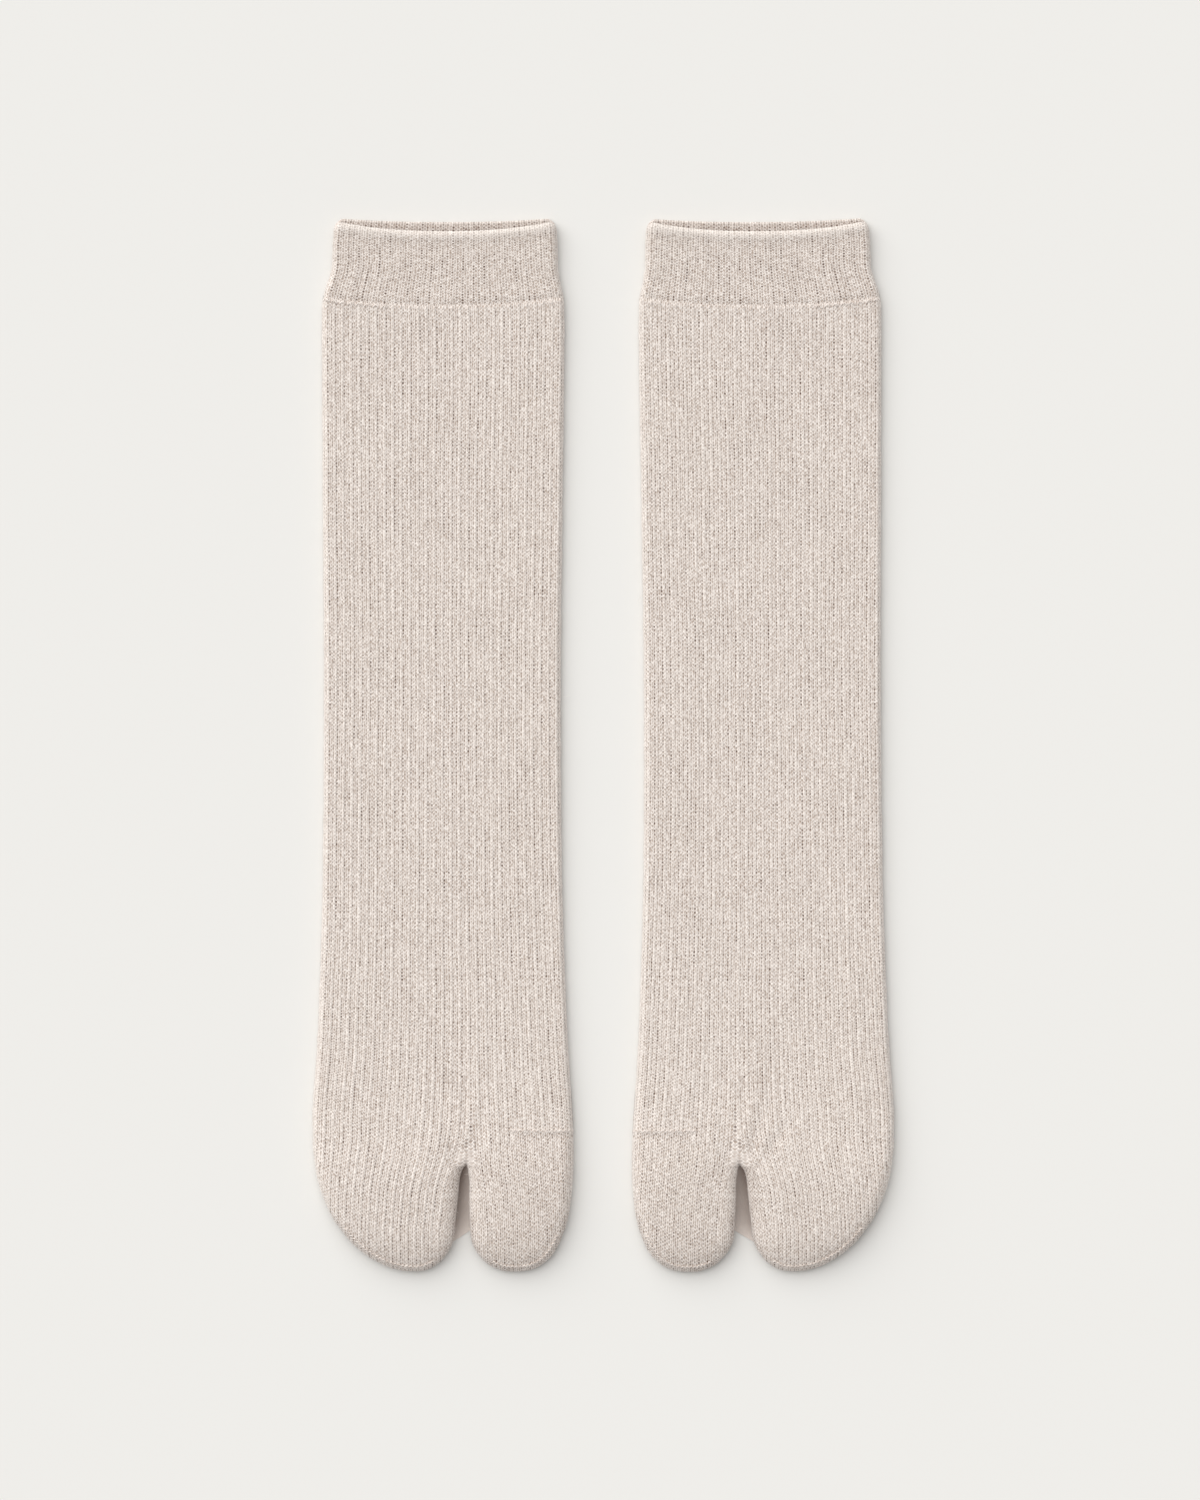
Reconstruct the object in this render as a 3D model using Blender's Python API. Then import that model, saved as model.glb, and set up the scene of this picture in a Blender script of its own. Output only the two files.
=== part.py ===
"""A pair of knitted tabi socks, lying flat with their cuffs towards +Y and their toes towards -Y.

Each sock is one closed wall of ribbed knit: a flattened tube that is open at the mouth, parts at
the toe split, and closes along a linked seam round the big toe and round the other four toes.
The ribs stand up from the upper face, the inside is plain, and the underside is flat at z = 0.

A sock is worked out in its own plan, in millimetres: "along" runs from the mouth to the toes, and
"across" from its centre line towards the big toe. A column is a line of points down the knit.
"""

import math
from bisect import bisect_right
from collections import namedtuple

import bmesh
import bpy
import numpy as np

MM = 0.001

# Driving dimensions, in millimetres.
SOCK_LENGTH = 369.2
RIBS = 30                      # across one face
RIB_RELIEF = 0.45
LEG_WALL = 1.4
CUFF_WALL = 1.9                # the cuff is turned over and knitted double
SPLIT_WALL = 2.4               # the knit is gathered where the two pockets part
SPLIT_WALL_REACH = 6.0
CUFF_HEIGHT = 28.0
CUFF_GROOVE = 0.35             # along the line where the cuff meets the leg
FRONT_RIM_DIP = 3.9            # how far the front of the mouth lies below its corners
BACK_RIM_DIP = 1.3
CUFF_LINE_DIP = 2.8
SPLIT_ALONG = 331.8            # the deepest point of the toe split
SPLIT_ACROSS = 8.4
INNER_CORNER_LENGTH = 15.0     # of both pockets' corners at the split
BALL_ALONG = 315.0             # the widest place, which is each sock's origin
SOCK_SPACING = 112.7           # between the centre lines, at the ball of the foot
LEFT_SOCK_LEAN = 0.24          # degrees, its cuff towards the other sock
LEFT_BIG_TOE_SPREAD = 1.2      # how much further its big toe lies out

# A toe pocket ends in two rounded corners that meet at its tip. Each is a quarter of a
# superellipse with a width, a length and a power, where 2 is a plain ellipse. side is -1
# towards the little toe, and first_column is the column on the sock's outer edge.
Corner = namedtuple("Corner", "width length power")
Pocket = namedtuple("Pocket", "name side first_column tip_across outer inner")
COLUMNS = 2 * RIBS             # a valley and a crest to each rib
FOUR_TOES = Pocket("four_toes", -1, 0, -9.5,
                   Corner(36.0, 47.0, 2.0), Corner(14.0, INNER_CORNER_LENGTH, 2.0))
BIG_TOE = Pocket("big_toe", 1, COLUMNS, 25.0,
                 Corner(21.0, 43.0, 2.6), Corner(15.3, INNER_CORNER_LENGTH, 2.1))

# The flat outline of cuff, leg and foot: distances from the centre line to both edges.
Edges = namedtuple("Edges", "along little_side big_side")
BODY_EDGES = (
    Edges(-6.0, 36.4, 39.0),
    Edges(0.0, 37.4, 39.6),
    Edges(8.0, 38.5, 40.4),
    Edges(18.0, 38.9, 40.7),
    Edges(24.5, 40.9, 41.9),
    Edges(29.0, 42.1, 42.7),
    Edges(42.0, 42.3, 42.9),
    Edges(110.0, 41.9, 42.1),
    Edges(162.0, 41.6, 41.6),
    Edges(210.0, 41.8, 41.8),
    Edges(246.0, 42.3, 42.4),
    Edges(288.0, 43.9, 44.1),
    Edges(BALL_ALONG, 45.7, 45.7),
    Edges(322.2, 45.5, 46.0),
    Edges(326.2, 45.5, 46.0),
)

# Both sides of the split, by their distance from the centre line.
Split = namedtuple("Split", "along four_toes big_toe")
SPLIT_EDGES = (
    Split(SPLIT_ALONG, SPLIT_ACROSS, SPLIT_ACROSS),
    Split(SPLIT_ALONG + 1.2, 7.3, 8.9),
    Split(SPLIT_ALONG + 2.8, 6.7, 9.15),
    Split(SPLIT_ALONG + 5.6, 6.1, 9.4),
    Split(SPLIT_ALONG + 12.0, 5.6, 9.45),
    Split(SPLIT_ALONG + 18.0, 5.0, 9.5),
    Split(SOCK_LENGTH - INNER_CORNER_LENGTH, FOUR_TOES.tip_across + FOUR_TOES.inner.width,
          BIG_TOE.tip_across - BIG_TOE.inner.width),
)

# How thick the sock lies, how wide its rounded edge is, and how much its middle rises above that.
Lie = namedtuple("Lie", "along thickness edge_round crown")
LIE = (
    Lie(-6.0, 6.4, 2.9, 0.0),
    Lie(0.0, 6.2, 2.8, 0.0),
    Lie(12.0, 5.4, 2.5, 0.0),
    Lie(29.0, 4.7, 2.3, 0.1),
    Lie(60.0, 4.4, 2.2, 0.2),
    Lie(200.0, 4.4, 2.2, 0.2),
    Lie(285.0, 4.9, 2.6, 0.4),
    Lie(318.0, 5.9, 3.3, 0.7),
    Lie(336.0, 7.2, 4.4, 0.9),
    Lie(350.0, 7.6, 4.8, 0.9),
    Lie(SOCK_LENGTH, 7.4, 4.8, 0.9),
)
CROWN_REACH = 14.0

# Where the knit's columns bend from the foot into the two pockets.
SPLIT_COLUMN = 36
LAST_RIB_COLUMN = 34
BEND_START, BEND_END = 318.0, 342.0
SHOULDER = 5.0                 # the pockets' first row lies this far above their outer corners
SAG_START = 270.0              # where the foot's rows begin to curve towards that row

# A layer is one face of the wall: the ribbed outside, or the plain inside, which needs fewer
# points. side_wall holds the places between a pocket's last two columns, as it rounds under.
Layer = namedtuple("Layer", "name columns side_wall alongs pocket_rows end_rows")
CUFF_ROWS = (4.0, 10.0, 16.0, 21.0, 24.5, 27.0, CUFF_HEIGHT, 29.2, 32.0)
LEG_ROWS = tuple(np.linspace(40.0, 280.0, 9))
FOOT_ROWS = (292.0, 303.0, 312.0, 319.5, 325.5, 329.2)
OUTSIDE = Layer("outside", tuple(range(COLUMNS + 1)), (0.25, 0.5, 0.75),
                CUFF_ROWS + LEG_ROWS + FOOT_ROWS, 6, 3)
INSIDE = Layer("inside", (0, 1.3, 2.7, 8, 14, 20, 26, 31, 35, 36, 37, 41, 46, 52, 57.3, 58.7, 60),
               (0.5,), CUFF_ROWS[1::2] + LEG_ROWS[::2] + FOOT_ROWS[1::2], 3, 2)
UNDER_COLUMNS = (12, 24, SPLIT_COLUMN, 48)
UNDER_TURNS = (math.pi / 4, math.pi / 2)     # points round the underside's edge
RIM_TURNS = (math.pi / 3, 2 * math.pi / 3)   # points round the mouth's rim

KNIT_COLOUR = (0.68, 0.60, 0.54, 1.0)
KNIT_ROUGHNESS = 0.95


def clear_scene():
    for existing in list(bpy.data.objects):
        bpy.data.objects.remove(existing, do_unlink=True)


def mix(first, second, share):
    return first + (second - first) * share


def smooth_step(share):
    share = min(max(share, 0.0), 1.0)
    return share * share * (3.0 - 2.0 * share)


def table_value(table, column, along):
    """A table's named column at a distance along, on a smooth curve through its rows."""
    places = [row.along for row in table]
    values = [getattr(row, column) for row in table]
    along = min(max(along, places[0]), places[-1])
    i = min(bisect_right(places, along) - 1, len(places) - 2)

    def slope(k):
        low, high = max(k - 1, 0), min(k + 1, len(places) - 1)
        return (values[high] - values[low]) / (places[high] - places[low])

    span = places[i + 1] - places[i]
    t = (along - places[i]) / span
    start = (1 + 2 * t) * (1 - t) ** 2 * values[i] + t * (1 - t) ** 2 * span * slope(i)
    end = t * t * (3 - 2 * t) * values[i + 1] + t * t * (t - 1) * span * slope(i + 1)
    return start + end


# ---------------------------------------------------------------- the flat outline


def pocket_end(pocket, across):
    """How far along a toe pocket reaches at a distance across."""
    outward = (across - pocket.tip_across) * pocket.side
    corner = pocket.outer if outward > 0 else pocket.inner
    share = min(abs(outward) / corner.width, 1.0)
    height = (1.0 - share ** corner.power) ** (1.0 / corner.power)
    return SOCK_LENGTH - corner.length + corner.length * height


def corner_arc(pocket, corner, side):
    """Points of one rounded corner, from its start at the pocket's side to the tip."""
    points = []
    for turn in np.linspace(0.0, math.pi / 2, 40):
        width = corner.width * math.cos(turn) ** (2.0 / corner.power)
        length = corner.length * math.sin(turn) ** (2.0 / corner.power)
        points.append((pocket.tip_across + side * width, SOCK_LENGTH - corner.length + length))
    return points


def split_edge(pocket, along):
    return table_value(SPLIT_EDGES, pocket.name, along)


def pocket_outline(pocket):
    """From the pocket's outer corner over its tip and up its split side, short of the split."""
    alongs = np.linspace(SPLIT_EDGES[-1].along, SPLIT_ALONG, 40)[1:-1]
    return (corner_arc(pocket, pocket.outer, pocket.side)
            + corner_arc(pocket, pocket.inner, -pocket.side)[-2::-1]
            + [(split_edge(pocket, along), along) for along in alongs])


def sock_outline():
    """The plan outline from the mouth's little-toe corner, round the toes, to its other corner."""
    mouth = BODY_EDGES[0].along
    little_side = np.linspace(mouth, SOCK_LENGTH - FOUR_TOES.outer.length, 400, endpoint=False)
    big_side = np.linspace(mouth, SOCK_LENGTH - BIG_TOE.outer.length, 400, endpoint=False)
    points = [(-table_value(BODY_EDGES, "little_side", along), along) for along in little_side]
    points += pocket_outline(FOUR_TOES)
    points += [(SPLIT_ACROSS, SPLIT_ALONG)]
    points += pocket_outline(BIG_TOE)[::-1]
    points += [(table_value(BODY_EDGES, "big_side", along), along) for along in big_side[::-1]]
    return np.array(points)


def inward_normals(outline):
    """At each outline point, the unit direction into the cloth."""
    run = np.vstack([outline[1:], outline[-1:]]) - np.vstack([outline[:1], outline[:-1]])
    normals = np.stack([run[:, 1], -run[:, 0]], axis=1)
    return normals / np.linalg.norm(normals, axis=1)[:, None]


OUTLINE = sock_outline()
OUTLINE_NORMALS = inward_normals(OUTLINE)
OUTLINE_STEPS = OUTLINE[1:] - OUTLINE[:-1]
OUTLINE_SQUARES = (OUTLINE_STEPS ** 2).sum(axis=1)
ON_OUTLINE = 0.15


def to_outline(across, along):
    """Distance to the outline, and the unit direction from its nearest point into the cloth."""
    point = np.array((across, along))
    shares = ((point - OUTLINE[:-1]) * OUTLINE_STEPS).sum(axis=1) / OUTLINE_SQUARES
    shares = np.clip(shares, 0.0, 1.0)
    gaps = point - (OUTLINE[:-1] + shares[:, None] * OUTLINE_STEPS)
    distances = np.hypot(gaps[:, 0], gaps[:, 1])
    nearest = int(np.argmin(distances))
    if distances[nearest] < ON_OUTLINE:
        return distances[nearest], OUTLINE_NORMALS[nearest + round(float(shares[nearest]))]
    return distances[nearest], gaps[nearest] / distances[nearest]


# ---------------------------------------------------------------- the knit's columns and rows


def round_edge(run, edge_round):
    """How far in from the edge a point lies that is run away from it over the rounded cloth."""
    if run < edge_round * math.pi / 2:
        return edge_round * (1.0 - math.cos(run / edge_round))
    return edge_round + run - edge_round * math.pi / 2


def body_across(column, along):
    """A column's place across the leg or foot, evenly spaced over the rounded cloth."""
    low = -table_value(BODY_EDGES, "little_side", along)
    high = table_value(BODY_EDGES, "big_side", along)
    edge_round = table_value(LIE, "edge_round", along)
    girth = high - low + edge_round * (math.pi - 2.0)
    run = girth * column / COLUMNS
    if run < girth / 2:
        return low + round_edge(run, edge_round)
    return high - round_edge(girth - run, edge_round)


def pocket_across(pocket, column, along):
    """A column's place across a toe pocket, whose last column step is its rounded side wall."""
    edge_round = table_value(LIE, "edge_round", along)
    outer = pocket.tip_across + pocket.side * pocket.outer.width
    inner = split_edge(pocket, along)
    steps = abs(SPLIT_COLUMN - pocket.first_column) - 1
    place = abs(column - pocket.first_column)
    if place > steps:
        run = (steps + 1 - place) * edge_round * math.pi / 2
        return inner + pocket.side * round_edge(run, edge_round)
    girth = abs(outer - inner) + edge_round * (math.pi / 2 - 2.0)
    return outer - pocket.side * round_edge(girth * place / steps, edge_round)


def plan_across(pocket, column, along):
    """A column's place across, as it bends from the foot into its toe pocket."""
    if column == SPLIT_COLUMN and along <= SPLIT_ALONG:
        bend = smooth_step((along - BEND_START) / (SPLIT_ALONG - BEND_START))
        return mix(body_across(column, along), SPLIT_ACROSS, bend)
    bend = smooth_step((along - BEND_START) / (BEND_END - BEND_START))
    if abs(column - SPLIT_COLUMN) < 1:
        bend = 1.0
    return mix(body_across(column, along), pocket_across(pocket, column, along), bend)


def pocket_of(column):
    return FOUR_TOES if column <= SPLIT_COLUMN else BIG_TOE


def shoulder_along(column):
    """The curved row where the pockets start: from the split up to their outer corners."""
    pocket = pocket_of(column)
    top = SOCK_LENGTH - pocket.outer.length - SHOULDER
    share = (column - SPLIT_COLUMN) / (pocket.first_column - SPLIT_COLUMN)
    return mix(SPLIT_ALONG, top, share ** 1.5)


def row_along(column, along, dip_at_mouth):
    """A row's place on a column: hanging below the mouth, and curving up beside the split."""
    bow = 1.0 - (2.0 * column / COLUMNS - 1.0) ** 2
    dip_at_line = min(dip_at_mouth, CUFF_LINE_DIP)
    if along < CUFF_HEIGHT:
        dip = mix(dip_at_mouth, dip_at_line, along / CUFF_HEIGHT)
    else:
        dip = dip_at_line * (1.0 - smooth_step((along - CUFF_HEIGHT) / 110.0))
    sag = SPLIT_ALONG - shoulder_along(column)
    return along + bow * dip - sag * smooth_step((along - SAG_START) / (SPLIT_ALONG - SAG_START))


def column_end(pocket, column):
    """Where a column runs out at the pocket's rounded end, found by halving."""
    near, far = shoulder_along(pocket.first_column), SOCK_LENGTH
    for _ in range(40):
        middle = (near + far) / 2
        if pocket_end(pocket, plan_across(pocket, column, middle)) > middle:
            near = middle
        else:
            far = middle
    return near


def pocket_alongs(layer, pocket, column):
    """Places down one column of a pocket, closing up where its end rounds under."""
    start = SPLIT_ALONG if abs(column - SPLIT_COLUMN) < 1 else shoulder_along(column)
    end = column_end(pocket, column)
    round_end = min(table_value(LIE, "edge_round", end), (end - start) / 2)
    shares = [((k + 1) / layer.pocket_rows) ** 1.4 for k in range(layer.pocket_rows)]
    run = [mix(start, end - round_end, share) for share in shares]
    turns = [math.pi / 2 * (1 - (k + 1) / layer.end_rows) for k in range(layer.end_rows)]
    return run + [end - round_end * (1 - math.cos(turn)) for turn in turns]


# ---------------------------------------------------------------- the cloth


def wall_at(across, along):
    body_wall = mix(CUFF_WALL, LEG_WALL, smooth_step((along - CUFF_HEIGHT + 6.0) / 6.0))
    from_split = math.hypot(across - SPLIT_ACROSS, along - SPLIT_ALONG)
    return mix(SPLIT_WALL, body_wall, smooth_step(from_split / SPLIT_WALL_REACH))


def cloth_place(across, along, side, depth=0.0, relief=0.0, from_edge=None):
    """A point of the flattened tube over a place in the plan.

    side is 1 on the upper face and -1 on the underside. depth goes into the wall from its outer
    face, and relief stands out from it. from_edge is the distance to the plan's edge, where it is
    known: there both faces meet at half height.
    """
    half = table_value(LIE, "thickness", along) / 2
    edge_round = table_value(LIE, "edge_round", along)
    distance, inward = to_outline(across, along)
    if from_edge is not None:
        distance = from_edge
    lean = max(1.0 - distance / edge_round, 0.0)
    rise = math.sqrt(1.0 - lean * lean)
    height = half + side * half * rise
    if side > 0:
        height += table_value(LIE, "crown", along) * smooth_step(distance / CROWN_REACH)
    normal = np.array((-inward[0] * lean / edge_round, -inward[1] * lean / edge_round,
                       side * rise / half))
    normal /= np.linalg.norm(normal)
    return np.array((across, along, height)) + normal * (relief * rise - depth)


def outside_relief(column, row):
    """Crests on the odd columns down to the plain big toe, and the groove of the cuff line."""
    groove = CUFF_GROOVE * math.exp(-(row - CUFF_HEIGHT) ** 2)
    if column % 2 != 1:
        return -groove
    relief = RIB_RELIEF * smooth_step((row - CUFF_HEIGHT) / 4.0)
    if column > LAST_RIB_COLUMN:
        relief *= 1.0 - smooth_step((row - FOOT_ROWS[-1]) / (SPLIT_ALONG - FOOT_ROWS[-1]))
    if abs(column - SPLIT_COLUMN) == 1:
        relief *= 1.0 - smooth_step((row - BEND_START) / (SPLIT_ALONG - BEND_START))
    return relief - groove


class Knit:
    """Collects one sock's points and faces. A key that comes again gives the same point."""

    def __init__(self, across_sign, toe_spread):
        self.mesh = bmesh.new()
        self.points = {}
        self.plan = {}
        self.across_sign = across_sign
        self.toe_spread = toe_spread

    def point(self, key, across, along, place):
        if key not in self.points:
            spread = smooth_step((along - 300.0) / 70.0) * smooth_step((across - 2.0) / 12.0)
            x = (place[0] + self.toe_spread * spread) * self.across_sign
            vertex = self.mesh.verts.new((x * MM, (BALL_ALONG - place[1]) * MM, place[2] * MM))
            self.points[key] = vertex
            self.plan[vertex] = (across, along)
        return self.points[key]

    def face(self, *corners):
        """A face over the corners that differ: a quad with a doubled corner is a triangle."""
        corners = list(dict.fromkeys(corners))
        if len(corners) > 2:
            self.mesh.faces.new(corners)

    def grid(self, rows):
        for upper, lower in zip(rows, rows[1:]):
            for i in range(len(upper) - 1):
                self.face(upper[i], upper[i + 1], lower[i + 1], lower[i])

    def strip(self, first, first_columns, second, second_columns):
        """Triangles between two rows whose points stand on different columns."""
        i = j = 0
        while i + 1 < len(first) or j + 1 < len(second):
            after_i = first_columns[i + 1] if i + 1 < len(first) else math.inf
            after_j = second_columns[j + 1] if j + 1 < len(second) else math.inf
            if after_i <= after_j:
                self.face(first[i], first[i + 1], second[j])
                i += 1
            else:
                self.face(first[i], second[j + 1], second[j])
                j += 1


def upper_point(knit, layer, key, pocket, column, along, relief=0.0, depth=0.0, on_edge=False):
    across = plan_across(pocket, column, along)
    if layer is INSIDE:
        relief, depth = 0.0, wall_at(across, along)
    place = cloth_place(across, along, 1, depth, relief, 0.0 if on_edge else None)
    return knit.point((layer.name,) + key, across, along, place)


def under_point(knit, layer, key, across, along, from_edge, depth=0.0):
    if layer is INSIDE:
        depth = wall_at(across, along)
    place = cloth_place(across, along, -1, depth, from_edge=from_edge)
    return knit.point((layer.name, "under") + key, across, along, place)


def under_edge_points(knit, layer, edge, depth=0.0):
    """The points from an edge vertex round to the flat of the underside."""
    across, along = knit.plan[edge]
    inward = to_outline(across, along)[1]
    edge_round = table_value(LIE, "edge_round", along)
    points = []
    for turn in UNDER_TURNS:
        step_in = edge_round * (1.0 - math.cos(turn))
        points.append(under_point(knit, layer, (edge, turn), across + inward[0] * step_in,
                                  along + inward[1] * step_in, step_in, depth))
    return points


def body_row(knit, layer, name, row, depth=0.0):
    """One row round leg or foot: its upper points, and its lower points, from edge to edge."""
    upper = []
    for column in layer.columns:
        along = row_along(column, row, FRONT_RIM_DIP)
        at_split = column == SPLIT_COLUMN and row == SPLIT_ALONG
        relief = outside_relief(column, row)
        upper.append(upper_point(knit, layer, (name, column), pocket_of(column), column, along,
                                 relief, depth, column in (0, COLUMNS) or at_split))
    under = []
    for column in UNDER_COLUMNS:
        along = row_along(column, row, BACK_RIM_DIP)
        flat = table_value(LIE, "edge_round", along)
        if column == SPLIT_COLUMN:
            along -= flat * smooth_step((row - SAG_START) / (SPLIT_ALONG - SAG_START))
        across = plan_across(pocket_of(column), column, along)
        if column == SPLIT_COLUMN and row == SPLIT_ALONG:
            under.append(under_edge_points(knit, layer, upper[layer.columns.index(column)])[-1])
        else:
            under.append(under_point(knit, layer, (name, column), across, along, flat, depth))
    first = [upper[0]] + under_edge_points(knit, layer, upper[0], depth)
    last = [upper[-1]] + under_edge_points(knit, layer, upper[-1], depth)
    return upper, first + under + last[::-1]


def build_pocket(knit, layer, pocket, shoulder_upper, shoulder_under):
    """A toe pocket below the shoulder row, whose points come from its outer edge to the split."""
    columns = [column for column in layer.columns if abs(column - SPLIT_COLUMN) >= 1
               and (column - SPLIT_COLUMN) * pocket.side > 0]
    columns.sort(key=lambda column: abs(column - pocket.first_column))
    side_wall = [SPLIT_COLUMN + pocket.side * (1 - share) for share in layer.side_wall]
    first_row = shoulder_upper[:len(columns)] + [shoulder_upper[-1]] * (len(side_wall) + 1)
    columns += side_wall + [SPLIT_COLUMN]
    lines = []
    for column in columns:
        alongs = pocket_alongs(layer, pocket, column)
        line = []
        for number, along in enumerate(alongs):
            at_side = column in (pocket.first_column, SPLIT_COLUMN)
            relief = outside_relief(column, max(along, SPLIT_ALONG))
            line.append(upper_point(knit, layer, (pocket.name, column, number), pocket, column, along,
                                    relief, on_edge=at_side or number == len(alongs) - 1))
        lines.append(line)
    rows = [first_row] + [list(row) for row in zip(*lines)]
    knit.grid(rows)

    edge = [row[0] for row in rows] + rows[-1][1:] + [row[-1] for row in rows[-2::-1]]
    rings = [under_edge_points(knit, layer, vertex) for vertex in edge]
    knit.grid([edge, [ring[0] for ring in rings], [ring[1] for ring in rings]])
    knit.face(*[ring[1] for ring in rings], *shoulder_under[-2:2:-1])


def build_layer(knit, layer):
    """One face of the wall. Gives back its row at the mouth."""
    rows = (CUFF_WALL / 2,) + layer.alongs + (SPLIT_ALONG,)
    made = [body_row(knit, layer, number, row) for number, row in enumerate(rows)]
    knit.grid([upper for upper, under in made])
    knit.grid([under for upper, under in made])
    upper, under = made[-1]
    split = layer.columns.index(SPLIT_COLUMN)
    under_split = 1 + len(UNDER_TURNS) + UNDER_COLUMNS.index(SPLIT_COLUMN)
    build_pocket(knit, layer, FOUR_TOES, upper[:split + 1], under[:under_split + 1])
    build_pocket(knit, layer, BIG_TOE, upper[:split - 1:-1], under[:under_split - 1:-1])
    return made[0]


def build_rim(knit, outside, inside):
    """The soft rounded edge round the mouth, between the wall's two faces."""
    uppers, unders = [outside[0]], [outside[1]]
    for turn in RIM_TURNS:
        row = CUFF_WALL / 2 * (1.0 - math.sin(turn))
        depth = CUFF_WALL / 2 * (1.0 - math.cos(turn))
        upper, under = body_row(knit, OUTSIDE, ("rim", turn), row, depth)
        uppers.append(upper)
        unders.append(under)
    knit.grid(uppers)
    knit.grid(unders + [inside[1]])
    knit.strip(uppers[-1], OUTSIDE.columns, inside[0], INSIDE.columns)


def knit_material():
    material = bpy.data.materials.new("melange_knit")
    material.use_nodes = True
    shader = material.node_tree.nodes["Principled BSDF"]
    shader.inputs["Base Color"].default_value = KNIT_COLOUR
    shader.inputs["Roughness"].default_value = KNIT_ROUGHNESS
    shader.inputs["Metallic"].default_value = 0.0
    return material


def build_sock(name, collection, knit_stuff, across_sign, toe_spread):
    knit = Knit(across_sign, toe_spread)
    outside = build_layer(knit, OUTSIDE)
    inside = build_layer(knit, INSIDE)
    build_rim(knit, outside, inside)
    bmesh.ops.recalc_face_normals(knit.mesh, faces=knit.mesh.faces)
    mesh = bpy.data.meshes.new(name)
    knit.mesh.to_mesh(mesh)
    knit.mesh.free()
    mesh.materials.append(knit_stuff)
    sock = bpy.data.objects.new(name, mesh)
    collection.objects.link(sock)
    return sock


def centre_pair(socks):
    """Moves the pair so that the middle of its box, at the floor, is the origin."""
    bpy.context.view_layer.update()
    corners = np.array([sock.matrix_world @ vertex.co
                        for sock in socks for vertex in sock.data.vertices])
    middle = (corners.min(axis=0) + corners.max(axis=0)) / 2
    for sock in socks:
        sock.location.x -= middle[0]
        sock.location.y -= middle[1]


def build():
    clear_scene()
    collection = bpy.data.collections.new("tabi_sock_pair")
    bpy.context.scene.collection.children.link(collection)
    knit_stuff = knit_material()
    right_sock = build_sock("right_foot_sock", collection, knit_stuff, 1, 0.0)
    left_sock = build_sock("left_foot_sock", collection, knit_stuff, -1, LEFT_BIG_TOE_SPREAD)
    right_sock.location.x = -SOCK_SPACING / 2 * MM
    left_sock.location.x = SOCK_SPACING / 2 * MM
    left_sock.rotation_euler.z = math.radians(LEFT_SOCK_LEAN)
    centre_pair([right_sock, left_sock])


build()
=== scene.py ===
"""A pair of oatmeal knitted tabi socks, laid flat: cuffs towards +Y, toes towards -Y.

Each sock is one tube of knit with 60 wales across a face. "Along" runs down it from the mouth
to the toes and "across" runs from its centre line towards the big toe, both in millimetres.
A "row" is a course's distance from the mouth, measured down the edge of the laid sock.
"""

import math

import bpy
import numpy as np
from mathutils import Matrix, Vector


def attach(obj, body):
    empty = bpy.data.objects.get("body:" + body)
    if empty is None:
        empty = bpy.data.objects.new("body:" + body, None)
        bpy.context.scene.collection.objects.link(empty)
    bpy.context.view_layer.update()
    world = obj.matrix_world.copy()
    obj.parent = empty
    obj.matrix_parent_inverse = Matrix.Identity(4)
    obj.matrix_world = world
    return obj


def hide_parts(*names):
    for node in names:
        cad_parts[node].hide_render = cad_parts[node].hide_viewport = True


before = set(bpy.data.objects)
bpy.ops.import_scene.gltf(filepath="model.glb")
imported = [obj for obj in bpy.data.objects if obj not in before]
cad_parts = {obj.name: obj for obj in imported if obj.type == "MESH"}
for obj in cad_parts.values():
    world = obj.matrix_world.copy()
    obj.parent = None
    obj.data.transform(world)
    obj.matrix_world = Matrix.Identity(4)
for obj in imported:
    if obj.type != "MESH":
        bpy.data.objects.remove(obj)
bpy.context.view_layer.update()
MM = 0.001


# ========================================
# The socks' knit: leg, foot, a pocket for four toes and one for the big toe.
# Heathered cotton-blend yarn, knitted round on 120 needles: ribbed from the cuff line to the
# tips of the four toes, and plain on the big toe and on the walls that face the toe split.

WALES = 60  # across one face; two to a rib
COURSE = 1.25  # height of one row of stitches
SOCK_LENGTH = 369.2
CUFF_LINE = 27.4  # where the turned-over cuff ends, at the sock's edges
CUFF_LINE_DIP, DIP_FADES = 3.2, 110.0
FRONT_RIM, BACK_RIM = (1.0, 3.9), (0.0, 1.5)  # where the mouth's edge starts and its dip
MOUTH_CORNER = 2.8  # radius of the mouth's two corners
MOUTH_WALE, MOUTH_ROUND = 1.33, 2.7  # width of a wale and rounding of the sides
LEG_WALE, LEG_ROUND = 1.4, 2.4
BALL = 315.0  # widest place, each sock's own origin
SPLIT_TOP = 331.8  # deepest point of the toe split
SPLIT_ACROSS = 8.4
SPLIT_WALE = 36
SHOULDER_RISE = 5.0
STEEP_ACROSS, STEEP_START, STEEP_END = 7.5, 320.0, 352.0  # the steep walls of the split
STEEP_RISE, STEEP_NARROWS = 2.0, 1.2
SAG_START = 270.0  # from here on the rows curve up beside the split
BEND_START, BEND_END = 301.0, 343.0
TOE_LINE = 320.6  # where the big toe's plain knit starts
TOE_LINE_WALE = 45.0
SEAM_START = 344.0  # where the linked seams round the toe tips set in
RIB_HEIGHT, RIB_CREST = 0.22, 0.13  # height in millimetres, width in ribs
LEG_WALL, CUFF_WALL = 1.4, 1.9
UNDER_ROUND = 3.2  # widest rounding of the edges on the underside

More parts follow.
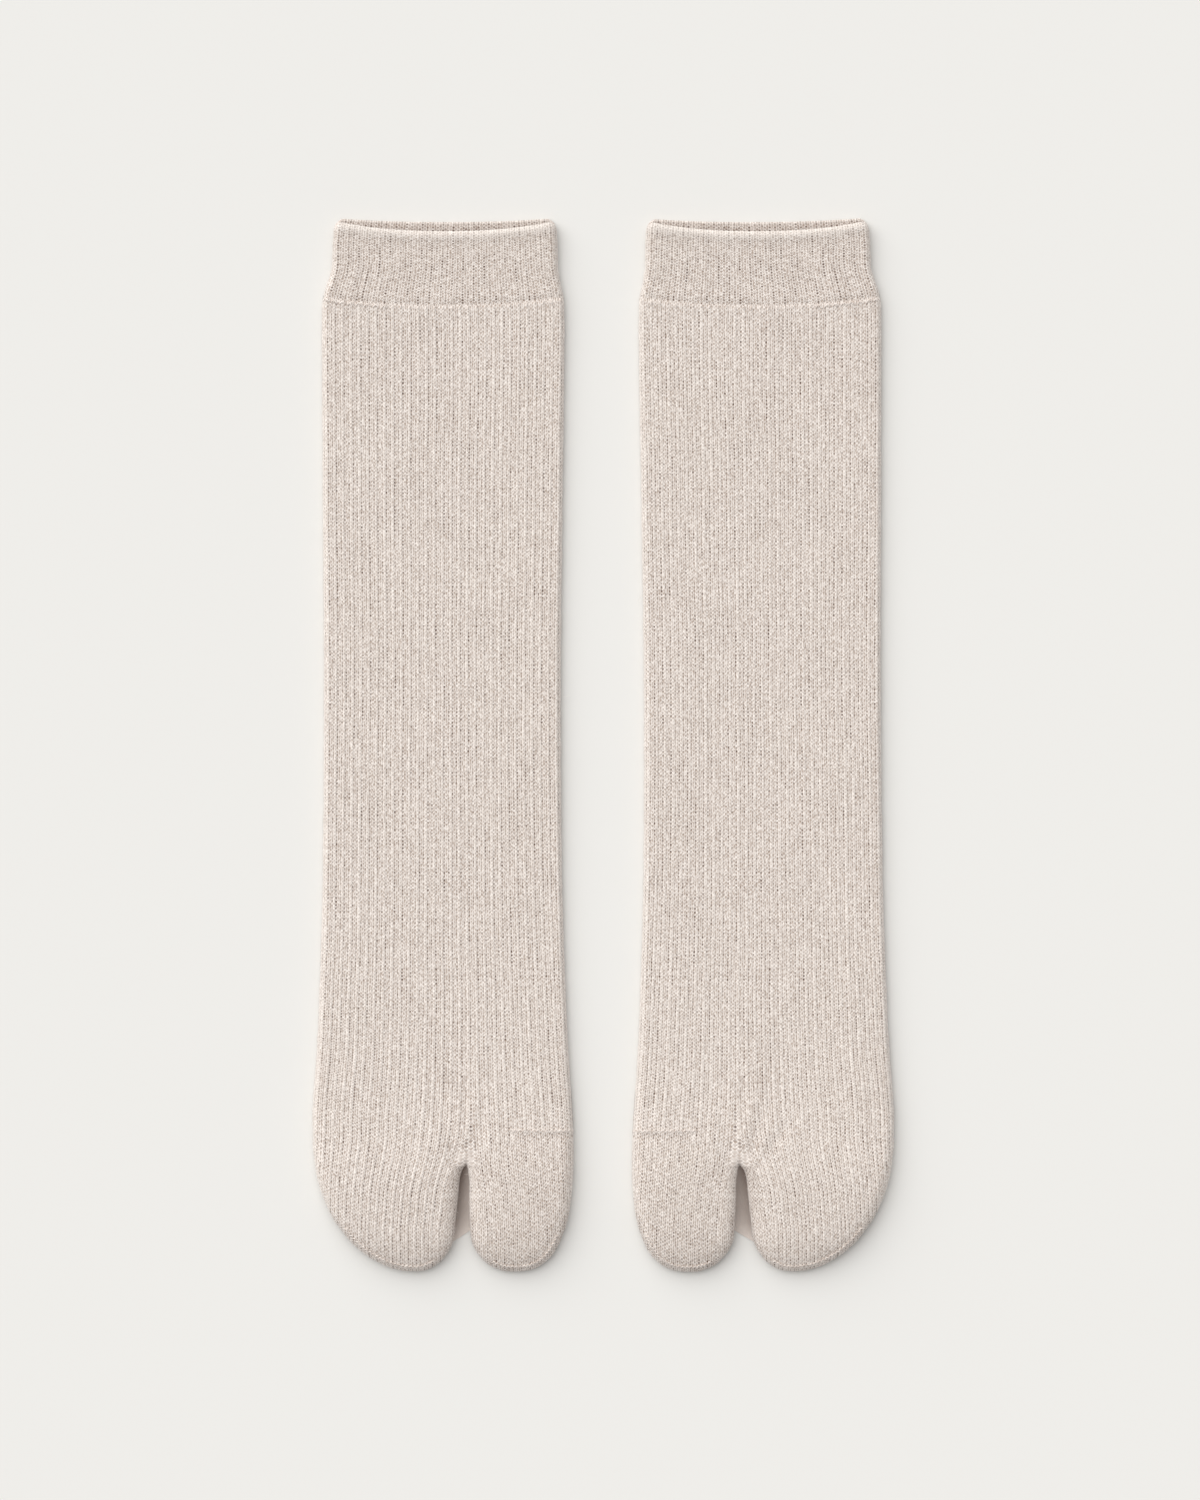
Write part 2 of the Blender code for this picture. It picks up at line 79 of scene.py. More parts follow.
# along, half width towards the little toe, half width towards the big toe
BODY_EDGES = np.array((
    (-6.0, 36.4, 39.0), (0.0, 37.4, 39.6), (8.0, 38.5, 40.4), (18.0, 38.9, 40.7),
    (24.5, 40.9, 41.9), (29.0, 42.1, 42.7), (42.0, 42.3, 42.9), (110.0, 41.9, 42.1),
    (162.0, 41.6, 41.6), (210.0, 41.8, 41.8), (246.0, 42.3, 42.4), (288.0, 43.9, 44.1),
    (315.0, 45.7, 45.7), (322.2, 45.5, 46.0), (326.2, 45.5, 46.0)))
# along, edge of the four-toe pocket, edge of the big-toe pocket
SPLIT_EDGES = np.array((
    (331.8, 8.4, 8.4), (333.0, 7.3, 8.9), (334.6, 6.7, 9.15), (337.4, 6.1, 9.4),
    (343.8, 5.6, 9.45), (349.8, 5.0, 9.5), (354.2, 4.5, 9.7)))
# along, where the side wall's curve ends on the four-toe pocket and on the big-toe pocket
WALL_LINES = np.array((
    (296.0, 6.3, 11.6), (312.0, 5.9, 11.7), (322.0, 5.1, 11.9), (329.0, 3.9, 12.3),
    (334.6, 2.7, 12.9), (340.0, 1.7, 13.6), (346.0, 1.0, 14.1), (354.2, 0.0, 14.5)))
# along, thickness as it lies, width of the rounded edge, rise of the middle, height of the edge
THICKNESS, EDGE_ROUND, MIDDLE_RISE, EDGE_HEIGHT = 1, 2, 3, 4
LIE = np.array((
    (-6.0, 5.6, 2.8, 0.0, 2.8), (0.0, 5.5, 2.7, 0.0, 2.7), (12.0, 5.1, 2.5, 0.0, 2.0),
    (29.0, 4.7, 2.4, 0.1, 1.4), (60.0, 4.4, 2.3, 0.2, 1.2), (200.0, 4.4, 2.3, 0.2, 1.2),
    (285.0, 4.9, 2.7, 0.4, 1.4), (318.0, 5.9, 3.4, 0.7, 1.8), (336.0, 7.2, 4.4, 0.9, 2.4),
    (348.0, 7.3, 4.6, 0.8, 2.4), (360.0, 6.6, 4.8, 0.6, 1.9), (369.2, 4.8, 4.6, 0.4, 1.3)))
# side of the split, tip's place across, each rounded corner's width, length and power, the
# pocket's column in BODY_EDGES, SPLIT_EDGES and WALL_LINES, and its first wale
FOUR_TOES = dict(side=-1, tip=-9.5, outer=(36.0, 47.0, 2.0), inner=(14.0, 15.0, 2.0),
                 edge=1, first=0)
BIG_TOE = dict(side=1, tip=25.0, outer=(21.0, 43.0, 2.6), inner=(15.3, 15.0, 2.1),
               edge=2, first=WALES)
# Ridges and grooves that follow a row: height, row and width
ROW_RELIEF = ((0.42, 2.0, 1.9), (0.16, CUFF_LINE - 2.2, 1.6), (-0.16, CUFF_LINE, 0.6),
              (0.16, CUFF_LINE + 1.8, 1.2))
# Slow swells and small puckers: height, size and seed
SWELLS = ((0.13, 27.0, 21), (0.05, 11.0, 22), (0.035, 4.5, 23))
# Soft troughs pressed into the cloth: from across, along to across, along, width and depth
CREASES = (
    (6.0, 331.0, -4.0, 300.0, 2.2, 0.30), (3.5, 334.0, -12.0, 312.0, 2.0, 0.25),
    (11.0, 330.0, 16.0, 304.0, 2.4, 0.25), (9.0, 327.0, 7.5, 296.0, 1.8, 0.22),
    (-34.0, 232.0, 4.0, 243.0, 7.0, 0.14), (38.0, 214.0, 6.0, 226.0, 8.0, 0.13),
    (-30.0, 44.0, -4.0, 50.0, 6.0, 0.12), (30.0, 92.0, 4.0, 84.0, 7.0, 0.11))


def smooth(share):
    share = np.clip(share, 0.0, 1.0)
    return share * share * (3.0 - 2.0 * share)


def bump(offset, width):
    return np.exp(-(offset / width) ** 2)


def unit(vectors):
    return vectors / np.maximum(np.linalg.norm(vectors, axis=-1), 1e-12)[..., None]


def stride(table):
    """From the row before each row to the row after it."""
    return np.vstack([table[1:], table[-1:]]) - np.vstack([table[:1], table[:-1]])


def table_at(table, column, along):
    """A table's column at distances along, on a smooth curve through its rows."""
    places, values = table[:, 0], table[:, column]
    slopes = stride(table)[:, column] / stride(table)[:, 0]
    along = np.clip(along, places[0], places[-1])
    i = np.clip(np.searchsorted(places, along, side="right") - 1, 0, len(places) - 2)
    span = places[i + 1] - places[i]
    t = (along - places[i]) / span
    return ((1 + 2 * t) * (1 - t) ** 2 * values[i] + t * (1 - t) ** 2 * span * slopes[i]
            + t * t * (3 - 2 * t) * values[i + 1] + t * t * (t - 1) * span * slopes[i + 1])


def lumps(x, y, size, seed):
    """Smooth uneven heights from -1 to 1, about one hump or hollow to a patch of this size."""
    heights = np.random.default_rng(seed).uniform(-1.0, 1.0, (61, 61))
    x, y = np.mod(x / size, 60.0), np.mod(y / size, 60.0)
    i, j = x.astype(int), y.astype(int)
    s, t = smooth(x - i), smooth(y - j)
    return ((heights[i, j] * (1 - s) + heights[i + 1, j] * s) * (1 - t)
            + (heights[i, j + 1] * (1 - s) + heights[i + 1, j + 1] * s) * t)


def tip_arc(pocket, outer_steps=48, inner_steps=48):
    """Over a pocket's tip, from its outer corner to its inner one."""
    arcs = []
    for corner, side, steps in (("outer", 1, outer_steps), ("inner", -1, inner_steps)):
        width, length, power = pocket[corner]
        turn = np.linspace(0.0, math.pi / 2, steps)
        across = pocket["tip"] + side * pocket["side"] * width * np.cos(turn) ** (2 / power)
        along = SOCK_LENGTH - length + length * np.sin(turn) ** (2 / power)
        arcs.append(np.stack([across, along], axis=1))
    return np.vstack([arcs[0], arcs[1][-2::-1]])


def half_outline(pocket):
    """From the mouth down one side, over that pocket's tip and up its wall, short of the split."""
    side = np.linspace(BODY_EDGES[0, 0], SOCK_LENGTH - pocket["outer"][1], 150, endpoint=False)
    side_edge = pocket["side"] * table_at(BODY_EDGES, pocket["edge"], side)
    wall = np.linspace(SPLIT_EDGES[-1, 0], SPLIT_TOP, 30)[1:-1]
    wall_edge = table_at(SPLIT_EDGES, pocket["edge"], wall)
    return np.vstack([np.stack([side_edge, side], axis=1), tip_arc(pocket),
                      np.stack([wall_edge, wall], axis=1)])


outline = np.vstack([half_outline(FOUR_TOES), [(SPLIT_ACROSS, SPLIT_TOP)],
                     half_outline(BIG_TOE)[::-1]])
outline_step = np.diff(outline, axis=0)
outline_inward = unit(stride(outline)[:, ::-1] * (1, -1))
POINTS_AT_ONCE, AT_EDGE = 4000, 0.15


def to_outline(across, along):
    """Distance to the flat outline, and the direction from there into the cloth."""
    distance, inward = np.empty(across.size), np.empty((across.size, 2))
    points = np.stack([across.ravel(), along.ravel()], axis=1)
    length_squared = (outline_step ** 2).sum(axis=1)
    for start in range(0, len(points), POINTS_AT_ONCE):
        here = slice(start, start + POINTS_AT_ONCE)
        part = points[here]
        gap = part[:, None, :] - outline[None, :-1, :]
        share = np.clip((gap * outline_step).sum(axis=2) / length_squared, 0.0, 1.0)
        gap -= share[:, :, None] * outline_step
        squared = (gap ** 2).sum(axis=2)
        best = squared.argmin(axis=1)
        each = np.arange(len(part))
        length = np.sqrt(squared[each, best])
        beside = outline_inward[best + np.round(share[each, best]).astype(int)]
        distance[here] = length
        inward[here] = np.where((length < AT_EDGE)[:, None], beside, unit(gap[each, best]))
    return distance.reshape(across.shape), inward.reshape(across.shape + (2,))


def round_edge(run, edge_round):
    """How far in from the edge a point lies that is run away from it over the rounded cloth."""
    curve = np.clip(run / edge_round, 0.0, math.pi / 2)
    return np.where(run < edge_round * math.pi / 2, edge_round * (1.0 - np.cos(curve)),
                    edge_round + run - edge_round * math.pi / 2)


def body_across(wale, along):
    low, high = (pocket["side"] * table_at(BODY_EDGES, pocket["edge"], along)
                 for pocket in (FOUR_TOES, BIG_TOE))
    edge_round = table_at(LIE, EDGE_ROUND, along)
    girth = high - low + edge_round * (math.pi - 2.0)
    run = girth * wale / WALES
    return np.where(run < girth / 2, low + round_edge(run, edge_round),
                    high - round_edge(girth - run, edge_round))


def pocket_across(pocket, wale, along):
    """A wale's place in a toe pocket; the wale next to the split is its rounded side wall."""
    edge_round = table_at(LIE, EDGE_ROUND, along)
    outer = pocket["tip"] + pocket["side"] * pocket["outer"][0]
    inner = table_at(SPLIT_EDGES, pocket["edge"], along)
    wall_line = table_at(WALL_LINES, pocket["edge"], along)
    steps = abs(SPLIT_WALE - pocket["first"]) - 1
    place = np.abs(wale - pocket["first"])
    down_wall = np.clip(steps + 1 - place, 0.0, 1.0) * math.pi / 2
    girth = np.abs(outer - wall_line) + edge_round * (math.pi / 2 - 1.0)
    return np.where(place > steps, inner + (wall_line - inner) * (1.0 - np.cos(down_wall)),
                    outer - pocket["side"] * round_edge(girth * place / steps, edge_round))


def bent_across(pocket, wale, along):
    """A whole wale's place as it bends from the foot into its pocket."""
    bend = smooth((along - BEND_START) / (BEND_END - BEND_START))
    return body_across(wale, along) * (1 - bend) + pocket_across(pocket, wale, along) * bend


def foot_across(wale, along):
    """A wale's place above the split; the two wales at the split run together to its top."""
    at_split = smooth((along - BEND_START) / (SPLIT_TOP - BEND_START))
    split = body_across(SPLIT_WALE, along) * (1 - at_split) + SPLIT_ACROSS * at_split
    across = np.where(wale < SPLIT_WALE, bent_across(FOUR_TOES, wale, along),
                      bent_across(BIG_TOE, wale, along))
    for pocket in (FOUR_TOES, BIG_TOE):
        beside = SPLIT_WALE + pocket["side"]
        share = np.abs(wale - beside)
        gathered = bent_across(pocket, beside, along) * (1 - share) + split * share
        here = (wale - SPLIT_WALE) * pocket["side"]
        across = np.where((here >= 0) & (here < 1), gathered, across)
    return across


def shoulder_along(wale):
    """The curved row where the pockets start: from the split up past their outer corners."""
    outer = np.where(wale <= SPLIT_WALE, FOUR_TOES["outer"][1], BIG_TOE["outer"][1])
    first = np.where(wale <= SPLIT_WALE, 0, WALES)
    share = (wale - SPLIT_WALE) / (first - SPLIT_WALE)
    return SPLIT_TOP + (SOCK_LENGTH - outer - SHOULDER_RISE - SPLIT_TOP) * share ** 1.5


def from_side(wale):
    """How many wales a place lies from the nearer side of its face."""
    return np.minimum(wale, WALES - wale)


def row_along(wale, row, side):
    """A row's place on a wale: it hangs below the mouth's front edge, curves down round the
    mouth's corners and hangs at the cuff line, and further down curves up beside the split."""
    bow = 1.0 - np.abs(2.0 * wale / WALES - 1.0) ** 2.3
    start, rim_dip = FRONT_RIM if side > 0 else BACK_RIM
    in_cuff = np.clip(row / CUFF_LINE, 0.0, 1.0)
    dip = np.where(row < CUFF_LINE, rim_dip + (CUFF_LINE_DIP - rim_dip) * in_cuff,
                   CUFF_LINE_DIP * (1.0 - smooth((row - CUFF_LINE) / DIP_FADES)))
    in_corner = round_edge(from_side(wale) * MOUTH_WALE, MOUTH_ROUND) / MOUTH_CORNER
    corner = MOUTH_CORNER * (1.0 - np.sqrt(1.0 - (1.0 - np.minimum(in_corner, 1.0)) ** 2))
    rim = (corner + start * smooth(from_side(wale) / 2.2)) * (1.0 - smooth(row / 12.0))
    sag = SPLIT_TOP - shoulder_along(wale)
    return row + bow * dip + rim - sag * smooth((row - SAG_START) / (SPLIT_TOP - SAG_START))


def wander(wale, row):
    """How far each wale strays sideways, as hand-laid knit does."""
    return 0.07 * np.sin(wale * 2.399 + 0.7) + 0.20 * lumps(wale + 200.0, row, 21.0, 11)


def unevenness(across, along):
    """Height of the slow swells, the small puckers and the soft troughs in the cloth."""
    swell = sum(height * lumps(across + 900.0, along + 50.0, size, seed)
                for height, size, seed in SWELLS)
    for x0, y0, x1, y1, width, depth in CREASES:
        run = np.array((x1 - x0, y1 - y0))
        share = ((across - x0) * run[0] + (along - y0) * run[1]) / (run ** 2).sum()
        away = np.hypot(across - x0 - np.clip(share, 0, 1) * run[0],
                        along - y0 - np.clip(share, 0, 1) * run[1])
        fade = smooth(share / 0.15 + 0.25) * (1.0 - smooth((share - 0.55) / 0.45))
        uneven = 1.0 + 0.35 * np.sin(share * 9.0 + x0)
        trough = bump(away, width) - 0.45 * bump(away - 2 * width, width)
        swell = swell - depth * uneven * fade * trough
    return swell


def lift(places, least):
    """Nothing lies lower than the least height."""
    places[..., 2] = np.maximum(places[..., 2], least)
    return places


def lay(across, along, side, depth=0.0, relief=0.0, on_edge=False):
    """Points of the flattened tube: side is 1 on the upper face and -1 on the underside. The
    walls of the toe split stand steeper than the other edges and are widest higher up."""
    across, along = np.broadcast_arrays(across, along)
    at_split = bump(across - STEEP_ACROSS, 7.0) * smooth((along - STEEP_START) / 9.0)
    at_split = at_split * (1.0 - smooth((along - STEEP_END) / 15.0))
    edge_height = table_at(LIE, EDGE_HEIGHT, along) + STEEP_RISE * at_split
    if side > 0:
        edge_round = table_at(LIE, EDGE_ROUND, along) - STEEP_NARROWS * at_split
        tall = table_at(LIE, THICKNESS, along) - edge_height
    else:
        edge_round, tall = np.minimum(edge_height, UNDER_ROUND), edge_height
    distance, inward = to_outline(across, along)
    distance = np.where(on_edge, 0.0, distance)
    lean = np.maximum(1.0 - distance / edge_round, 0.0)
    rise = np.sqrt(1.0 - lean * lean)
    height = edge_height + side * tall * rise
    if side > 0:
        height = height + table_at(LIE, MIDDLE_RISE, along) * smooth(distance / 14.0)
        height = height + unevenness(across, along) * smooth(distance / 5.0)
    outward = (-inward[..., i] * lean / edge_round for i in (0, 1))
    normal = unit(np.stack([*outward, side * rise / tall], axis=-1))
    scallop = (0.10 * lumps(across + 300.0, along + 20.0, 2.1, 31)
               + 0.06 * lumps(across + 300.0, along, 1.3, 32))
    out = relief * rise - depth + (scallop - 0.10) * bump(distance, 0.8)
    places = np.stack([across, along, height], axis=-1) + normal * out[..., None]
    return lift(places, 0.0)


def rib_offset(wale):
    """How far a place lies from the nearest rib's crest, in ribs."""
    phase = np.mod(wale / 2, 1.0)
    return np.minimum(phase, 1.0 - phase)


def rib_shape(wale):
    """1 on the narrow crest of each rib, with a low rounded stretch between two crests."""
    return bump(rib_offset(wale), RIB_CREST) + 0.45 * np.sin(math.pi * wale / 2) ** 2


def rib_strength(wale, row, along):
    """Where the ribs stand: below the cuff line, and not on the plain big toe or the side walls."""
    strength = smooth((row - CUFF_LINE) / 3.0)
    inner_toe = smooth((47.0 - wale) / 7.0)
    toe_end = smooth((along - TOE_LINE + 0.6 - 3.0 * inner_toe) / (1.2 + 9.0 * inner_toe))
    strength = np.where(wale > SPLIT_WALE + 1, strength * (1 - toe_end), strength)
    near_split = np.clip(1.0 - np.abs(wale - SPLIT_WALE) / 1.6, 0.0, 1.0)
    return strength * (1.0 - near_split * smooth((row - 320.0) / 11.0))


def on_toe_line(wale):
    """1 over the wales that the line at the start of the plain big toe runs across."""
    return smooth((wale - TOE_LINE_WALE) / 3.0)


def knit_relief(wale, row, along, side):
    """Ribs, the rolled rim, the groove of the cuff line between two swells, and the toe line."""
    fuller = 0.72 + 0.42 * lumps(np.round(wale / 2) * 17.3, row, 26.0, 43)
    relief = RIB_HEIGHT * rib_shape(wale) * rib_strength(wale, row, along) * fuller
    cuff_rib = (0.10 * lumps(wale + 40.0, row * 0.02 + 3.0, 1.9, 41)
                + 0.05 * np.sin(wale * 2 * math.pi))
    relief = relief + cuff_rib * smooth(row / 6.0) * (1.0 - smooth((row - CUFF_LINE + 4.0) / 3.0))
    for height, place, width in ROW_RELIEF:
        relief = relief + height * bump(row - place, width)
    toe_line = (0.17 * bump(along - TOE_LINE + 1.0, 0.8)
                - 0.12 * bump(along - TOE_LINE - 0.3, 0.7))
    relief = relief + on_toe_line(wale) * toe_line
    return relief if side > 0 else relief - RIB_HEIGHT


def pocket_line(pocket, wale, along):
    """A wale's place below the shoulder row; the side wall doesn't bend with the rest."""
    wall = np.abs(wale - SPLIT_WALE) < 1
    return np.where(wall, pocket_across(pocket, wale, along), bent_across(pocket, wale, along))


def column_ends(pocket, wales):
    """Where each wale runs out at the pocket's rounded end, found by halving."""
    near, far = shoulder_along(pocket["first"]) + 0 * wales, SOCK_LENGTH + 0 * wales
    for _ in range(40):
        middle = (near + far) / 2
        outward = (pocket_line(pocket, wales, middle) - pocket["tip"]) * pocket["side"]
        corner = np.where(outward[:, None] > 0, pocket["outer"], pocket["inner"])
        width, length, power = corner.T
        share = np.minimum(np.abs(outward) / width, 1.0)
        reach = SOCK_LENGTH - length + length * (1.0 - share ** power) ** (1.0 / power)
        near, far = np.where(reach > middle, middle, near), np.where(reach > middle, far, middle)
    return near


class Cloth:
    """Gathers one sock's points, each with how ribbed it is and how much painted shade it has
    (where below 0 it is painted paler instead, for fluff and painted light), and its four-cornered
    faces, whose corners hold their wale and course."""

    def __init__(self):
        self.points, self.ribbing, self.shade, self.count = [], [], [], 0
        self.faces, self.stitches, self.finish = [], [], []

    def add(self, places, ribbing=0.0, shade=0.0):
        size = places[..., 0].size
        index = self.count + np.arange(size).reshape(places.shape[:-1])
        self.points.append(places.reshape(-1, 3))
        for kept, value in ((self.ribbing, ribbing), (self.shade, shade)):
            kept.append(np.broadcast_to(value, places.shape[:-1]).ravel())
        self.count += size
        return index

    def panel(self, index, wale, course, finish, side=1, inside=False):
        """Faces over a grid of points. The underside's wales are counted on round the tube."""
        if side < 0:
            wale = 2 * WALES - wale
        grid = np.stack(np.broadcast_arrays(index, wale, course), axis=-1)
        corners = [grid[:-1, :-1], grid[1:, :-1], grid[1:, 1:], grid[:-1, 1:]]
        if (side > 0) == inside:
            corners.reverse()
        corners = np.stack(corners, axis=2).reshape(-1, 4, 3)
        self.faces.append(corners[..., 0].astype(int))
        self.stitches.append(corners[..., 1:])
        self.finish.append(np.broadcast_to(finish, index[1:, 1:].shape).ravel())


BODY_KNIT, CUFF_KNIT = 0, 1
# How much paler the mouth's two rims, the folds and the cuff line's puffs are painted: partly
# fluff, partly painted light where they would fall in shade
RIM_PALE, BACK_RIM_PALE, FOLD_PALE, PUFF_PALE = 0.30, 0.08, 0.24, 0.25
# Painted shade on the inside of the mouth, deeper in
INSIDE_SHADE = 0.8
# The web of cloth in the split: length and height, how far it tucks under the side walls, and the
# strength of its painted shadow
WEB_REACH, WEB_HEIGHT, WEB_TUCK, WEB_PAINTED_SHADOW = 23.0, 3.6, 1.6, 5.4
RIB_PLACES = np.array((0.0, 0.08, 0.18, 0.32, 0.5, 0.68, 0.82, 0.92))
wales = np.append((np.arange(WALES // 2)[:, None] + RIB_PLACES).ravel() * 2.0, float(WALES))
split_at = int(np.argmin(np.abs(wales - SPLIT_WALE)))
rows = np.concatenate([[CUFF_WALL / 2, 1.8, 2.9, 4.2], np.linspace(6.0, 24.0, 10),
                       CUFF_LINE + np.array((-2.2, -1.1, -0.5, 0.0, 0.5, 1.2, 2.2, 3.6)),
                       np.linspace(33.5, 312.0, 108), np.linspace(313.4, SPLIT_TOP, 20)])
inside_rows = np.array((CUFF_WALL / 2, 3.0, 6.0, 10.0, 16.0, 24.0, 36.0, 60.0, 100.0, 150.0,
                        200.0, 250.0, 296.0))


def on_foot(wale, row, side, depth=0.0, stand=None):
    """Points of leg and foot. Without a stand of their own they have the knit's relief."""
    along = row_along(wale, row, side)
    edge = (from_side(wale) == 0) | ((wale == SPLIT_WALE) & (row == SPLIT_TOP))
    free = smooth(from_side(wale) / 3.0) * (1.0 - smooth((row - 322.0) / 8.0))
    across = foot_across(wale, along) + wander(wale, row) * free
    relief = knit_relief(wale, row, along, side) if stand is None else stand
    return lay(across, along, side, depth, relief, edge)


def join_edges(faces):
    """The two faces share their points where they meet along the sides."""
    for edge in (0, -1):
        faces[-1][:, edge] = faces[1][:, edge]


def knit_leg_and_foot(cloth):
    """Both faces from the mouth to the split. Returns their points' numbers."""
    row, wale = rows[:, None], wales
    faces = {}
    for side in (1, -1):
        along = row_along(wale, row, side)
        # Painted paler, partly as fluff and partly as painted light: the mouth's rim, the folds at
        # the sides and the cuff line's puffs
        rim_pale = RIM_PALE * (1.0 - smooth((row - 1.8) / 2.4))
        fold_pale = FOLD_PALE * bump(round_edge(from_side(wale) * LEG_WALE, LEG_ROUND), 1.4)
        puffs = bump(row - CUFF_LINE - 1.5, 0.8)
        pale = (np.maximum(rim_pale, fold_pale)
                + PUFF_PALE * puffs * (0.3 + 0.7 * bump(rib_offset(wale), 0.15)))
        toe_line = on_toe_line(wale) * bump(along - TOE_LINE - 0.5, 0.7)
        crowded = bump(wale - SPLIT_WALE, 2.6) * smooth((along - SPLIT_TOP + 13.0) / 10.0)
        ribbing = rib_strength(wale, row, along) * (1.0 - crowded) - 0.55 * crowded
        faces[side] = cloth.add(on_foot(wale, row, side), ribbing, 0.3 * toe_line - pale)
    join_edges(faces)
    faces[-1][-1, split_at] = faces[1][-1, split_at]
    finish = np.where(row < CUFF_LINE, CUFF_KNIT, BODY_KNIT)[:-1]
    for side in (1, -1):
        cloth.panel(faces[side], wale, row / COURSE, finish, side)
    return faces


def knit_toe_pocket(cloth, pocket, foot):
    """A pocket from the split's side wall to its outer edge, closed round its tip."""
    mine = slice(0, split_at + 1) if pocket is FOUR_TOES else slice(split_at, None)
    wale = wales[mine]
    wall = np.abs(wale - SPLIT_WALE) < 1
    start = np.where(wall, SPLIT_TOP, shoulder_along(wale))
    end = column_ends(pocket, wale)
    rounding = np.minimum(table_at(LIE, EDGE_ROUND, end), (end - start) / 2)
    shares = np.linspace(0, 1, 19)[1:, None] ** 1.15
    turns = math.pi / 2 * (1 - np.arange(1, 7) / 6)[:, None]
    along = start + (end - rounding - start) * shares
    along = np.vstack([along, end - rounding * (1 - np.cos(turns))])
    across = pocket_line(pocket, wale, along)
    edge = (wale == pocket["first"]) | (wale == SPLIT_WALE)
    edge = edge | (np.arange(len(along)) == len(along) - 1)[:, None]
    ribbing = rib_strength(wale, np.maximum(along, SPLIT_TOP), along)
    strength = ribbing * (1.0 - 0.55 * smooth((along - end + 16.0) / 14.0))
    from_tip = to_outline(across, along)[0]
    linked = smooth((along - SEAM_START) / 8.0)
    ridge = linked * (0.14 * bump(from_tip - 1.3, 0.8) - 0.20 * bump(from_tip - 3.0, 0.7))
    toe_line = on_toe_line(wale) * -0.22 * bump(along - TOE_LINE - 0.3, 0.6)
    # Painted shade on the lips of the linked toe tips, which face away from the light, and painted
    # light with the fluff on the other folds
    shade = (0.30 * linked * bump(from_tip - 0.4, 1.0)
             - FOLD_PALE * (1.0 - linked) * bump(from_tip, 1.6))
    if pocket is FOUR_TOES:
        # Painted shade on the four-toe pocket's wall beside the split, which faces away from the
        # light
        wall_shade = np.clip(1.6 - np.abs(wale - SPLIT_WALE), 0.0, 1.0) * (1.0 - linked)
        shade = shade * (1.0 - wall_shade) + 0.40 * wall_shade
    # The side wall's one wale is broad, so the stitch map counts several stitches over it.
    spread = SPLIT_WALE + pocket["side"] * (1 - 5 * (1 - np.abs(wale - SPLIT_WALE)))
    spread = np.where(wall, spread, wale)
    for side in (1, -1):
        relief = RIB_HEIGHT * (rib_shape(wale) * strength - (0.0 if side > 0 else 1.0))
        relief = relief + ridge + (toe_line if side > 0 else 0.0)
        points = lay(across, along, side, 0.0, relief, edge)
        index = cloth.add(points, ribbing, shade)
        if side > 0:
            upper = index
            shoulder = np.concatenate(cloth.points)[foot[1][-1, mine]]
            step = np.linalg.norm(np.diff(np.concatenate([shoulder[None], points]), axis=0), axis=2)
            run = np.vstack([np.zeros(len(wale)), np.cumsum(step, axis=0)])
        else:
            index = np.where(edge, upper, index)
        grid = np.vstack([foot[side][-1, mine], index])
        cloth.panel(grid, spread, (SPLIT_TOP + run) / COURSE, BODY_KNIT, side)


def knit_split_web(cloth):
    """The cloth low in the split's top, sloping down to the table between the two side walls. Its
    dark colour is a painted shadow between the toes: it is longest and darkest beside the four
    toes, and its end is painted paler where it meets the table."""
    share, slope = np.meshgrid(np.linspace(0, 1, 13), np.linspace(0, 1, 17))
    beside_wall = np.abs(2.0 * share - 1.0)
    down = (WEB_REACH + 6.0 * (1.0 - share)) * slope
    along = SPLIT_TOP - 1.2 + down
    low = table_at(SPLIT_EDGES, FOUR_TOES["edge"], along) - WEB_TUCK
    width, length, power = FOUR_TOES["inner"]
    past_wall = np.clip((along - SOCK_LENGTH + length) / length, 0.0, 1.0)
    low = low - width * (1.0 - (1.0 - past_wall ** power) ** (1.0 / power))
    high = table_at(SPLIT_EDGES, BIG_TOE["edge"], along) + WEB_TUCK
    hung = 1.1 * beside_wall ** 2 + 0.5 * (1.0 - share)
    height = WEB_HEIGHT * (1.0 - slope) ** 2.6 + hung * (1.0 - slope) ** 1.5 + 0.05
    # Painted shadow, darkest at the top beside the four toes, and painted paler at the far end to
    # meet the table
    shade = WEB_PAINTED_SHADOW - 1.8 * smooth((down - 3.0) / 12.0) - 1.2 * smooth((down - 15.0) / 8.0)
    shade = shade * (1.0 - share ** 2.2)
    shade = shade * (1.0 - smooth((down - 22.0) / 8.0)) - 0.6 * smooth((slope - 0.8) / 0.2)
    index = cloth.add(np.stack([low + (high - low) * share, along, height], axis=-1), -1.0, shade)
    course = (SPLIT_TOP + 10.0 * slope) / COURSE
    cloth.panel(index, SPLIT_WALE - 1.0 + 2.0 * share, course, BODY_KNIT)


